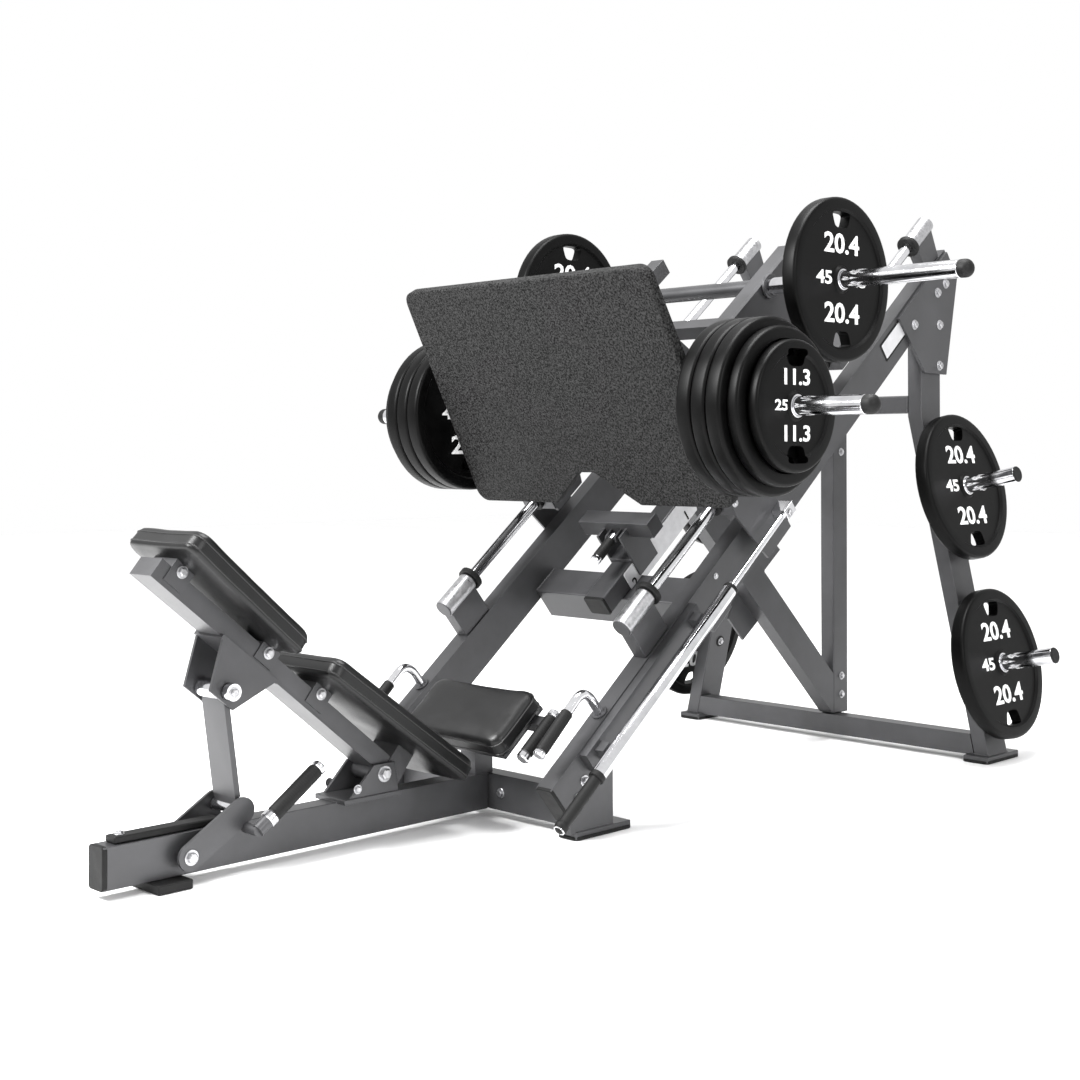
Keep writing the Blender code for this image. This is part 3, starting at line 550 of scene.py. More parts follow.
@dataclass
class SteelFrame:
    """Everything welded from tube and plate, with its caps, soles, beads and bolts."""

    edge: float = 0.0045
    thin_edge: float = 0.0016
    thin: tuple[str, ...] = ("crank", "sled_side", "back_frame", "seat_frame", "stop_saddle")
    sole: float = 0.009
    cap: float = 0.010

    def build(self) -> None:
        """Makes the steel pieces and what is fixed to them."""
        slots = {p["node"]: p["material_slot"] for p in frame["record"]["subparts"]}
        for node, slot in slots.items():
            if slot == "frame":
                softened(node, POWDER, self.thin_edge if node.startswith(self.thin) else self.edge)
        self.soles()
        self.end_caps()
        self.beads()
        self.bolts()

    def soles(self) -> None:
        """Rubber soles under the welded foot plates."""
        for node in ("front_post_left", "front_post_right", "tower_leg_left", "tower_leg_right"):
            low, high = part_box(node)
            if node.startswith("front"):
                width, depth, x = high.x - low.x - 0.011, 0.066, (low.x + high.x) / 2 + 0.008
                y = math.copysign(0.334, low.y + high.y)
            else:
                width, depth, x = 0.192, 0.086, (low.x + high.x) / 2
                y = math.copysign(max(abs(low.y), abs(high.y)) - 0.041, low.y + high.y)
            outline = rounded_rect(width, depth, 0.012)
            plated(node + "_sole", "frame", np.array([x, y, 0.0]), [1, 0, 0], [0, 1, 0], outline,
                   self.sole, RUBBER)

    def end_caps(self) -> None:
        """Black caps that close the open tube ends."""
        centre = np.array([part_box("main_beam")[0].x - 0.003, 0.0, 0.0215 + 0.0905 / 2])
        plated("beam_cap", "frame", centre, ACROSS, UP, rounded_rect(0.058, 0.0925, 0.008), 0.013,
               RUBBER)
        for tag, side in SIDES:
            plated(f"rail_cap_{tag}", "frame", RAIL.at(-0.573, side * 0.335, -0.1605), ACROSS,
                   RAIL.off, rounded_rect(0.052, 0.115, 0.007), self.cap, RUBBER)
        plated("stop_tube_cap", "frame", RAIL.at(0.084, 0.0, -0.159), ACROSS, RAIL.off,
               rounded_rect(0.074, 0.058, 0.007), self.cap, RUBBER)

    def beads(self) -> None:
        """Weld beads where the main tubes meet, as a thin rope with a ripple along it."""
        runs = []
        for _, side in SIDES:
            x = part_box("tower_crossbeam")[0].x
            y = side * 0.310
            runs.append((np.array([x - 0.001, y, 1.052]), np.array([x - 0.001, y, 1.103])))
            runs.append((RAIL.at(0.152, y, -0.189), RAIL.at(0.248, y, -0.189)))
            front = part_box("front_crossbeam")[0]
            runs.append((np.array([front.x + 0.001, y, 0.112]),
                         np.array([front.x + 0.055, y, 0.112])))
        for index, (a, b) in enumerate(runs):
            t = np.linspace(0, 1, 40)[:, None]
            ripple = 1 + 0.18 * np.sin(t * 2 * math.pi * 12)
            points = a + (b - a) * t
            u, v, _ = basis(b - a)
            ring = circle(0.0032, 8)
            circles = ring[None, :, :1] * u + ring[None, :, 1:] * v
            grid = points[:, None] + ripple[:, None] * circles
            faces = list(grid_faces(40, 8)) + [range(8), range(39 * 8, 40 * 8)]
            dress(mesh_object(f"weld_bead_{index}", grid, faces, POWDER, 60), "frame", POWDER)

    def bolts(self) -> None:
        """Bolts through the rails, gussets, posts and braces."""
        x0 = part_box("main_beam")[0].x
        for side in (1.0, -1.0):
            out = ACROSS * side
            face = side * 0.370
            for x, z in ((2.726, 1.460), (2.679, 1.428), (2.545, 1.320), (2.690, 1.328),
                         (2.689, 1.200)):
                BOLTS.add("frame", np.array([x0 + x, face, z]), out, 0.011)
            for x, z in ((1.088, 0.139), (1.066, 0.100)):
                BOLTS.add("frame", np.array([x0 + x, side * 0.360, z]), out, 0.010)
            for s in (0.165, 0.235):
                BOLTS.add("frame", RAIL.at(s, side * 0.360, -0.190), out, 0.008)
            BOLTS.add("frame", RAIL.at(0.205, side * 0.360, -0.128), out, 0.006)
            for x, z, size in ((0.640, 0.140, 0.008), (0.720, 0.165, 0.014)):
                BOLTS.add("frame", np.array([x0 + x, side * 0.0545, z]), out, size)
            for x, z in ((0.190, 0.064), (0.320, 0.142)):
                if side > 0 or x < 0.3:
                    BOLTS.add("crank", np.array([x0 + x, side * 0.059, z]), out, 0.012)
            for u, v in ((0.744, 0.050), (0.450, 0.040), (0.270, 0.048)):
                BOLTS.add("backrest", back_point(u, side * 0.046, v), out, 0.010)
            for s in (0.352, 0.436, 0.990, 1.074):
                BOLTS.add("sled", RAIL.at(s, side * (0.398 if s < 0.7 else 0.394), 0.0), out, 0.008)
        BOLTS.add("frame", np.array([x0 + 1.080, -0.075, 0.067]), np.array([-1.0, 0, 0]), 0.009)
        BOLTS.add("frame", np.array([x0 + 1.080, 0.075, 0.067]), np.array([-1.0, 0, 0]), 0.009)
        for z in (0.140, 0.200, 0.930, 1.000):
            BOLTS.add("frame", np.array([x0 + 2.654, -0.025, z]), -ACROSS, 0.009)


def back_point(u: float, y: float, v: float) -> Array:
    """The world point on the backrest: u towards the head, v out of the cushion, from its pivot."""
    pivot = np.array(joint_of("back_tilt")["pos_m"], float)
    tilt = math.radians(39.0)
    along = np.array([-math.cos(tilt), 0.0, math.sin(tilt)])
    out = np.array([math.sin(tilt), 0.0, math.cos(tilt)])
    return pivot + along * u + out * v + ACROSS * y


@dataclass
class Chromework:
    """Guide rods, horns, damper, strut and hand grips."""

    cap_radius: float = 0.0237

    def build(self) -> None:
        """Makes the bright pieces and the rubber on them."""
        for tag, side in SIDES:
            softened(f"guide_rod_{tag}", CHROME, 0.0012)
            softened(f"bumper_{tag}", RUBBER, 0.003)
            for name, start, ring, finish in (
                    ("boss_sleeve", -0.130, (0.0256, 0.0270, 0.116, 0.001), ZINC),
                    ("boss_sleeve_upper", 1.583, (0.0256, 0.0270, 0.115, 0.001), ZINC),
                    ("upper_bumper", 1.5640, (0.0170, 0.035, 0.0155, 0.003), RUBBER)):
                fitted(f"{name}_{tag}", "frame", RAIL.at(start, side * RAIL.rod_y, 0.0), RAIL.along,
                       ring_profile(*ring), finish)
            for s0 in (0.326, 0.448, 0.964, 1.086):
                fitted(f"bearing_seal_{tag}_{int(s0 * 1000)}", "sled",
                       RAIL.at(s0, side * RAIL.rod_y, 0.0), RAIL.along,
                       ring_profile(0.0172, 0.027, 0.012, 0.002), RUBBER)
            self.horns(tag, side)
            self.hand_grip(tag, side)
        self.damper()
        self.strut()

    def horns(self, tag: str, side: float) -> None:
        """The plate horns of one side, with round or flat black ends."""
        for level in ("lower", "upper"):
            node = f"sled_horn_{level}_{tag}"
            low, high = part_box(node)
            centre = np.array([(low.x + high.x) / 2, side * 0.2808, (low.z + high.z) / 2])
            fitted(node + "_bar", "sled", centre, ACROSS * side, rod_profile(0.024, 0.606, 0.0015),
                   CHROME, node, sides=48)
            arc = np.linspace(0, math.pi / 2, 9)
            r = self.cap_radius
            wide = r + 0.0006
            profile = [(0.0, 0.604), (r - 0.003, 0.604), (r, 0.607), (wide, 0.612), (wide, 0.622)]
            profile += [(float(wide * math.cos(a)), float(0.622 + 0.021 * math.sin(a)))
                        for a in arc[1:]]
            profile[-1] = (0.0, profile[-1][1])
            fitted(f"horn_end_{level}_{tag}", "sled", centre, ACROSS * side, profile, RUBBER)
            collar = ring_profile(0.0243, 0.036, 0.010, 0.002)
            base = np.array([centre[0], side * 0.2815, centre[2]])
            fitted(f"horn_collar_{level}_{tag}", "sled", base, ACROSS * side, collar, POWDER)
            self.storage_horn(level, tag, side)

    def storage_horn(self, level: str, tag: str, side: float) -> None:
        """One storage horn on the tower leg, with its end cap and its root washer."""
        node = f"storage_horn_{level}_{tag}"
        softened(node, CHROME, 0.0015)
        out = np.array(joint_of(f"storage_plate_{level}_{tag}_off")["axis"], float)
        low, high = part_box(node)
        middle = np.array([(low.x + high.x) / 2, (low.y + high.y) / 2, (low.z + high.z) / 2])
        tip = middle + out * (0.1225 + 0.0002)
        fitted(f"storage_cap_{level}_{tag}", "frame", tip - out * 0.004, out,
               rod_profile(self.cap_radius, 0.009, 0.003), RUBBER)
        root = middle - out * 0.1224
        fitted(f"storage_boss_{level}_{tag}", "frame", root, out,
               ring_profile(0.0243, 0.037, 0.008, 0.002), POWDER)
        inner = root - out * (0.0494 / 1.0 * math.hypot(1, 0.2217) * 0.955)
        fitted(f"leg_grommet_{level}_{tag}", "frame", inner, -out,
               rod_profile(0.019, 0.003, 0.001), RUBBER)
        BOLTS.add("frame", inner - out * 0.003, -out, 0.009)

    def hand_grip(self, tag: str, side: float) -> None:
        """A bent chrome tube on the rail with a ribbed rubber sleeve and a bright end cap."""
        y = side * RAIL.rod_y
        bends = ((-0.320, -0.1035), (-0.320, -0.070), (-0.322, -0.048), (-0.332, -0.028),
                 (-0.352, -0.020), (-0.380, -0.021), (-0.440, -0.0245), (-0.530, -0.0298))
        route = [RAIL.at(s, y, h) for s, h in bends]
        tube = carried(f"hand_grip_tube_{tag}", circle(0.0125, 16), smooth_path(route), CHROME)
        dress(tube, "frame", CHROME, f"hand_grip_{tag}")
        start, end = RAIL.at(-0.398, y, -0.0221), RAIL.at(-0.518, y, -0.0290)
        ridged(f"hand_grip_sleeve_{tag}", start, end, 0.0158, 0.0126, "frame")
        fitted(f"hand_grip_flange_{tag}", "frame", RAIL.at(-0.320, y, -0.1036), RAIL.off,
               ring_profile(0.0126, 0.021, 0.004, 0.001), POWDER)
        fitted(f"hand_grip_cap_{tag}", "frame", RAIL.at(-0.519, y, -0.0291), end - start,
               rod_profile(0.0150, 0.014, 0.003), CHROME)

    def damper(self) -> None:
        """The damper's cylinder, rod, gland and lower ball end."""
        softened("damper_cylinder", CHROME, 0.0015)
        softened("damper_rod", CHROME, 0.0012)
        y, h = -0.430, -0.133
        for name, s, length, radius, inner in (("damper_gland", 0.161, 0.010, 0.0205, 0.0195),
                                               ("damper_neck", -0.492, 0.016, 0.0200, 0.0142),
                                               ("damper_sleeve", -0.648, 0.158, 0.0150, 0.0138)):
            fitted(name, "frame", RAIL.at(s, y, h), RAIL.along,
                   ring_profile(inner, radius, length, 0.002), RUBBER)
        arc = np.linspace(-math.pi / 2, math.pi / 2, 15)
        ball = [(0.0175 * math.cos(a), 0.0175 * math.sin(a)) for a in arc]
        ball[0], ball[-1] = (0.0, -0.0175), (0.0, 0.0175)
        fitted("damper_ball", "frame", RAIL.at(-0.638, y, h), RAIL.along, ball, RUBBER)
        BOLTS.add("sled", RAIL.at(0.470, y - 0.014, h), -ACROSS, 0.009)

    def strut(self) -> None:
        """The prop under the backrest, with its bright pins at the top and the foot."""
        softened("strut", POWDER, 0.0012)
        top = np.array(joint_of("strut_swing")["pos_m"], float)
        pin = [(0.0, 0.0), (0.017, 0.0), (0.0189, 0.002), (0.0189, 0.020), (0.0, 0.020)]
        for tag, side in SIDES:
            fitted(f"strut_pin_{tag}", "strut", top + ACROSS * side * 0.0585, ACROSS * side, pin,
                   CHROME)
            BOLTS.add("strut", top + ACROSS * side * 0.0785, ACROSS * side, 0.009)
        fitted("strut_barrel", "strut", top - ACROSS * 0.0462, ACROSS,
               rod_profile(0.0215, 0.0924, 0.002), CHROME)
        foot = top + np.array([0.037, 0.0, -0.265])
        fitted("strut_foot_pin", "strut", foot - ACROSS * 0.0440, ACROSS,
               rod_profile(0.0138, 0.088, 0.002), CHROME)
        path = np.array([foot + (top - foot) * t for t in (0.0, 0.06, 0.125)])
        tongue = carried("strut_tongue", rounded_rect(0.012, 0.086, 0.003), path, POWDER)
        dress(tongue, "strut", POWDER)


def ridged(name: str, start: Array, end: Array, outer: float, inner: float,
           body: str) -> bpy.types.Object:
    """A rubber sleeve whose radius ripples along its length, between two points."""
    length = float(np.linalg.norm(end - start))
    t = np.linspace(0.004, length - 0.004, 60)
    ripple = outer - 0.0007 * (1 + np.sin(t * 2 * math.pi / 0.006)) / 2
    profile = [(inner, 0.0), (outer - 0.002, 0.0)] + list(zip(ripple.tolist(), t.tolist()))
    profile += [(outer - 0.002, length), (inner, length), (inner, 0.0)]
    return dress(turned(name, start, end - start, profile, RUBBER, 24), body, RUBBER)


@dataclass
class Handles:
    """The crank's handle, the seat's side grips and the stop's handle."""

    def build(self) -> None:
        """Sleeves the bare bars and caps their ends."""
        x0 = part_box("main_beam")[0].x
        start = np.array([x0 + 0.330, -0.100, 0.104])
        end = np.array([x0 + 0.496, -0.100, 0.221])
        way = (end - start) / np.linalg.norm(end - start)
        ridged("crank_grip", start + way * 0.050, end - way * 0.012, 0.0182, 0.0150, "crank")
        fitted("crank_cap", "crank", end - way * 0.011, way, rod_profile(0.0178, 0.014, 0.003),
               CHROME)
        fitted("crank_collar", "crank", start + way * 0.030, way,
               ring_profile(0.0150, 0.0190, 0.018, 0.002), CHROME)
        for tag, side in SIDES:
            y, depth = side * 0.218, 0.0723
            low, high = seat_point(0.165, y, depth), seat_point(0.020, y, depth)
            step = (high - low) / np.linalg.norm(high - low)
            ridged(f"seat_grip_{tag}", low + step * 0.012, high - step * 0.016, 0.0172, 0.0150,
                   "frame")
            for name, spot, way in (("upper", high - step * 0.015, step),
                                    ("lower", low + step * 0.011, -step)):
                fitted(f"seat_grip_cap_{name}_{tag}", "frame", spot, way,
                       rod_profile(0.0168, 0.018, 0.003), CHROME)
        softened("stop_handle", CHROME, 0.002)
        ridged("stop_grip", RAIL.at(0.242, 0.0, -0.056), RAIL.at(0.172, 0.0, -0.056), 0.0155,
               0.0126, "stop_handle")
        fitted("stop_grip_cap", "stop_handle", RAIL.at(0.171, 0.0, -0.056), -RAIL.along,
               rod_profile(0.0150, 0.014, 0.003), CHROME)
        for tag, side in SIDES:
            plated(f"stop_yoke_{tag}", "stop_handle", RAIL.at(0.272, side * 0.0175, -0.053),
                   RAIL.along, RAIL.off, rounded_rect(0.066, 0.022, 0.010), 0.005, POWDER)


def seat_point(length: float, y: float, depth: float) -> Array:
    """The world point down the seat's top and below it, from its front edge."""
    x0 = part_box("main_beam")[0].x
    tilt = math.radians(40.0)
    x = x0 + 1.100 - length * math.cos(tilt) + depth * math.sin(tilt)
    return np.array([x, y, 0.346 - length * math.sin(tilt) - depth * math.cos(tilt)])


@dataclass
class StopDetails:
    """The range scale, its figures, and the rubber block on the stop tube."""

    def build(self) -> None:
        """Makes the scale sheet and its figures, and the small black pieces."""
        plated("range_scale", "frame", RAIL.at(0.370, -0.0365, -0.169), RAIL.along, RAIL.off,
               rounded_rect(0.360, 0.070, 0.006), 0.0025, SHEET)
        for figure, s in (("2", 0.215), ("1", 0.500)):
            spot = RAIL.at(s, -0.0392, -0.185)
            drawn = numerals(f"scale_figure_{figure}", figure, spot, RAIL.along, RAIL.off, 0.042,
                             RUBBER)
            dress(drawn, "frame", RUBBER)
        plated("stop_bumper", "frame", RAIL.at(0.185, 0.0, -0.1312), RAIL.along, ACROSS,
               rounded_rect(0.060, 0.050, 0.008), -0.010, RUBBER, -0.0015)
        softened("wear_strip", RUBBER, 0.004)
        softened("rear_foot", RUBBER, 0.004)
        low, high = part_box("wear_strip")
        BOLTS.add("frame", np.array([low.x + 0.022, 0.0, high.z]), UP, 0.008)
        plated("blank_label", "frame", RAIL.at(1.300, -0.3602, -0.150), RAIL.along, RAIL.off,
               rounded_rect(0.170, 0.062, 0.005), 0.001, RUBBER, 0.0004)
        plated("label_field", "frame", RAIL.at(1.300, -0.3612, -0.150), RAIL.along, RAIL.off,
               rounded_rect(0.156, 0.048, 0.004), 0.0006, SHEET, 0.0002)


def numerals(name: str, text: str, spot: Array, right: Array, up: Array, size: float,
             finish: Finish) -> bpy.types.Object:
    """Raised figures centred on a point of a face.

    Args:
        name: the piece's name.
        text: the figures.
        spot: their middle.
        right, up: the unit vectors of the face as it is read.
        size: the height of the type.
        finish: their surface.

    Returns:
        The mesh object.
    """
    curve = bpy.data.curves.new(name, "FONT")
    curve.body, curve.size, curve.extrude = text, size, 0.0006
    curve.align_x, curve.align_y = "CENTER", "CENTER"
    curve.offset = size * 0.022
    curve.resolution_u = 3
    holder = bpy.data.objects.new(name + "_type", curve)
    bpy.context.scene.collection.objects.link(holder)
    graph = bpy.context.evaluated_depsgraph_get()
    mesh = bpy.data.meshes.new_from_object(holder.evaluated_get(graph))
    bpy.data.objects.remove(holder)
    bpy.data.curves.remove(curve)
    w = np.cross(right, up) / np.linalg.norm(right)
    place = Matrix(np.array([[*right, 0], [*up, 0], [*w, 0], [0, 0, 0, 1]]).T.tolist())
    mesh.transform(Matrix.Translation(Vector(spot)) @ place)
    mesh.materials.clear()
    mesh.materials.append(finish.build())
    obj = bpy.data.objects.new(name, mesh)
    bpy.context.scene.collection.objects.link(obj)
    return obj


@dataclass(frozen=True)
class PlateKind:
    """The sizes and figures of one weight of plate."""

    radius: float
    thick: float
    figures: str
    second: str

    def profile(self) -> list[tuple[float, float]]:
        """A flanged disc: a rounded rim, a sunk web and a raised hub, closed on itself."""
        r, t = self.radius, self.thick
        bore, hub, web = 0.0255, 0.033, min(0.007, t * 0.2)
        arc = np.linspace(0, math.pi / 2, 5)
        soft = min(0.010, t * 0.28)
        rim_in = r - 0.032
        outer = [(r - soft + soft * math.sin(a), t - soft + soft * math.cos(a)) for a in arc]
        inner = [(r - soft + soft * math.cos(a), soft - soft * math.sin(a)) for a in arc]
        slope = 0.006
        front = [(bore, t), (hub, t), (hub + slope, t - web), (rim_in - slope, t - web),
                 (rim_in, t)]
        back = [(rim_in, 0), (rim_in - slope, web), (hub + slope, web), (hub, 0), (bore, 0),
                (bore, t)]
        return front + outer + inner + back


KIND_45 = PlateKind(0.225, 0.0455, "45", "20.4")
KIND_35 = PlateKind(0.200, 0.0355, "35", "15.9")
KIND_25 = PlateKind(0.165, 0.0315, "25", "11.3")


@dataclass
class Plates:
    """Every weight plate, on the storage horns and on the sled."""

    reach: float = 0.163

    def build(self) -> None:
        """Makes each plate where its CAD node lies."""
        for tag, side in SIDES:
            for level in ("upper", "lower"):
                name = f"storage_plate_{level}_{tag}"
                out = np.array(self.joint_axis(name), float)
                self.plate(name, KIND_45, self.inner_face(name, out, 0.046), out, name)
            name = f"upper_plate_{tag}"
            out = ACROSS * side
            self.plate(name, KIND_45, self.inner_face(name, out, 0.046), out, name)
            stack = f"plate_stack_{tag}"
            start = self.inner_face(stack, out, 0.174)
            for index, kind in enumerate((KIND_45, KIND_45, KIND_45, KIND_35)):
                self.plate(f"stack_plate_{index}_{tag}", kind, start, out, stack, index == 0)
                start = start + out * 0.046
            name = f"outer_plate_{tag}"
            self.plate(name, KIND_25, self.inner_face(name, out, 0.032), out, name)

    def joint_axis(self, body: str) -> Sequence[float]:
        """The way a plate comes off its horn."""
        return next(j["axis"] for j in frame["joints"] if j["child"] == body)

    def inner_face(self, node: str, out: Array, total: float) -> Array:
        """The middle of a CAD plate's inner face, with a hair of room for the next one."""
        low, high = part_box(node)
        middle = np.array([(a + b) / 2 for a, b in zip(low, high)])
        return middle - out * (total / 2 - 0.0002)

    def plate(self, name: str, kind: PlateKind, start: Array, out: Array, node: str,
              figures: bool = True) -> None:
        """Turns one plate, cuts its hand openings, and sets its hub ring and figures.

        Args:
            name: the piece's name.
            kind: its sizes.
            start: the middle of its inner face.
            out: the way its outer face points.
            node: the CAD node and body that it stands for.
            figures: whether its outer face shows.
        """
        out = out / np.linalg.norm(out)
        body = body_of(node)
        disc = turned(name + "_disc", start, out, kind.profile(), URETHANE, 72)
        up = UP - out * out[2]
        up /= np.linalg.norm(up)
        right = np.cross(up, out)
        scale = self.reach * {0.225: 1.0, 0.200: 0.4 / 0.45, 0.165: 0.33 / 0.45}[kind.radius]
        if node.startswith("plate_stack"):
            scale = self.reach * 0.4 / 0.45
        cutters = [self.opening(start + up * scale * end, right, up * end, out, kind.thick)
                   for end in (1, -1)]
        for cutter in cutters:
            cut = disc.modifiers.new("hand opening", "BOOLEAN")
            cut.operation, cut.object, cut.solver = "DIFFERENCE", cutter, "EXACT"
        graph = bpy.context.evaluated_depsgraph_get()
        mesh = bpy.data.meshes.new_from_object(disc.evaluated_get(graph))
        disc.modifiers.clear()
        disc.data = mesh
        for cutter in cutters:
            bpy.data.objects.remove(cutter)
        mesh.shade_smooth()
        mesh.set_sharp_from_angle(angle=math.radians(32))
        dress(disc, body, URETHANE, node)
        ring = turned(name + "_hub", start - out * 0.0002, out,
                      ring_profile(0.0249, 0.0292, kind.thick + 0.0008, 0.0006), CHROME)
        dress(ring, body, CHROME)
        if figures:
            sunk = min(0.007, kind.thick * 0.2)
            self.figures(name, kind, start + out * (kind.thick - sunk + 0.0004), right, up, body)
            self.figures(name + "_inner", kind, start + out * (sunk - 0.0004), -right, up, body)

    def opening(self, centre: Array, right: Array, up: Array, out: Array,
                thick: float) -> bpy.types.Object:
        """The cutter of one hand opening: a rounded D through the plate."""
        a = np.linspace(0, 2 * math.pi, 40, endpoint=False)
        shape = np.stack([0.045 * np.sign(np.cos(a)) * np.abs(np.cos(a)) ** 0.45,
                          0.022 * np.sign(np.sin(a)) * np.abs(np.sin(a)) ** 0.45], -1)
        shape[:, 0] *= 0.82 + 0.18 * shape[:, 1] / 0.022
        flat = centre + shape[:, :1] * right + shape[:, 1:] * up
        points = np.concatenate([flat - out * 0.02, flat + out * (thick + 0.02)])
        faces = list(grid_faces(2, 40)) + [range(40), range(40, 80)]
        return mesh_object("opening", points, faces, URETHANE)

    def figures(self, name: str, kind: PlateKind, face: Array, right: Array, up: Array,
                body: str) -> None:
        """The weight on both sides of the hub, and its kilograms above and below."""
        r = kind.radius
        spots = ((kind.figures, -right * r * 0.36, r * 0.22, 1.5),
                 (kind.figures, right * r * 0.36, r * 0.22, 1.5),
                 (kind.second, up * r * 0.42, r * 0.33, 1.3),
                 (kind.second, -up * r * 0.42, r * 0.33, 1.3))
        for index, (text, shift, size, stretch) in enumerate(spots):
            piece = numerals(f"{name}_figure_{index}", text, face + shift, right * stretch, up,
                             size, WHITE)
            dress(piece, body, WHITE)


@dataclass
class Platform:
    """The grit-faced foot plate, with its eased rim."""

    thick: float = 0.034
    corner: float = 0.035
    top_half: float = 0.455
    foot_half: float = 0.480
    notch_half: float = 0.160
    notch_tip: float = 0.030
    notch_depth: float = 0.100

    def build(self) -> None:
        """Makes the plate from its outline, with arcs at its four corners."""
        x0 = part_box("main_beam")[0].x
        top, foot = np.array([x0 + 1.224, 0.0, 1.392]), np.array([x0 + 1.550, 0.0, 0.800])
        length = float(np.linalg.norm(foot - top))
        along = (foot - top) / length
        centre = (top + foot) / 2
        outline = self.outline(length)
        plate = slab("platform_grit", centre, along, -ACROSS, outline, self.thick, GRIT, 0.004)
        plate.data.shade_smooth()
        plate.data.set_sharp_from_angle(angle=math.radians(30))
        dress(plate, "sled", GRIT, "platform")

    def outline(self, length: float) -> Array:
        """The outline in (down, across), from arcs at the corners and the notch's corners."""
        r, half = self.corner, length / 2
        arc = np.linspace(0, math.pi / 2, 7)
        foot = [(half - r + r * math.sin(a), self.foot_half - r + r * math.cos(a)) for a in arc]
        head = [(-half + r - r * math.cos(a), self.top_half - r + r * math.sin(a)) for a in arc]
        right = head + foot + [(half, self.notch_half), (half - self.notch_depth, self.notch_tip)]
        left = [(d, -w) for d, w in reversed(right)]
        return np.array(right + left)


@dataclass
class Pad:
    """One upholstered pad: foam swollen under vinyl, with piping round its side.

    Args:
        node: the CAD node it stands for.
        centre: the middle of its top face.
        along, out: the unit vectors of its length and of its face.
        length, width, thick: its sizes.
        fill: not used.
    """

    node: str
    centre: Array
    along: Array
    out: Array
    length: float
    width: float
    thick: float
    fill: float = 0.85
    corner: float = 0.034
    shrink: float = 0.006

    def build(self) -> None:
        """Shapes, swells and dresses the pad."""
        pad = self.shape()
        swell(pad, 0.0065)
        fine = pad.modifiers.new("fine", "SUBSURF")
        fine.levels = fine.render_levels = 1
        body = body_of(self.node)
        dress(pad, body, VINYL, self.node)
        self.piping(pad, body)
        self.board(body)

    def ring(self, inset: float) -> Array:
        """The pad's outline drawn in by a distance, as (along, across) points."""
        corner = max(self.corner - inset * 0.5, 0.004)
        return rounded_rect(self.length - 2 * inset, self.width - 2 * inset, corner, 10)

    def shape(self) -> bpy.types.Object:
        """A closed form whose section runs from the middle of its back over its rim to its crown.

        The outline shrinks by the sine of the rim's angle and rises by its cosine, and the face
        keeps rising towards the middle as one minus the square of the way out.
        """
        t, s = self.thick, self.shrink
        rows, heights = [], []
        for share in (0.04, 0.35, 0.7, 0.92):
            rows.append(self.ring(s + 0.006) * share)
            heights.append(-t + 0.001)
        for angle in np.linspace(-math.pi / 2, math.pi / 2, 9):
            r = 0.018 if angle > 0 else 0.007
            rows.append(self.ring(s + r * (1 - math.cos(angle))))
            base = -0.006 - r if angle > 0 else -t + r
            heights.append(base + r * math.sin(angle))
        for share in (0.96, 0.85, 0.65, 0.4, 0.15, 0.03):
            rows.append(self.ring(s + 0.018) * share)
            heights.append(-0.006 + 0.005 * (1 - share ** 2))
        across = np.cross(self.out, self.along)
        grid = [self.centre + flat[:, :1] * self.along + flat[:, 1:] * across + h * self.out
                for flat, h in zip(rows, heights)]
        count = len(rows[0])
        faces = list(grid_faces(len(grid), count))
        faces += [range(count), range((len(grid) - 1) * count, len(grid) * count)]
        return mesh_object(self.node + "_vinyl", np.array(grid), faces, VINYL, 80)

    def piping(self, pad: bpy.types.Object, body: str) -> None:
        """A thin roll sewn round the side, laid on the swollen surface."""
        graph = bpy.context.evaluated_depsgraph_get()
        shown = pad.evaluated_get(graph)
        for name, depth in (("upper", -0.019), ("lower", -self.thick + 0.010)):
            flat = self.ring(-0.004)
            dense = np.concatenate([a + (b - a) * np.linspace(0, 1, 6, endpoint=False)[:, None]
                                    for a, b in zip(flat, np.roll(flat, -1, 0))])
            across = np.cross(self.out, self.along)
            path = (self.centre + dense[:, :1] * self.along + dense[:, 1:] * across
                    + depth * self.out)
            path = np.array([shown.closest_point_on_mesh(Vector(p))[1][:] for p in path])
            keep = np.linalg.norm(path - np.roll(path, 1, 0), axis=1) > 2e-4
            roll = carried(f"{self.node}_piping_{name}", circle(0.0019, 8), path[keep], PIPING,
                           closed=True)
            dress(roll, body, PIPING)

    def board(self, body: str) -> None:
        """The black base board under the foam, seen from below."""
        across = np.cross(self.out, self.along)
        spot = self.centre - self.out * (self.thick - 0.0045)
        plate = slab(self.node + "_board", spot, across, self.along,
                     rounded_rect(self.width - 0.05, self.length - 0.05, 0.02)[:, :], 0.004, RUBBER)
        dress(plate, body, RUBBER)


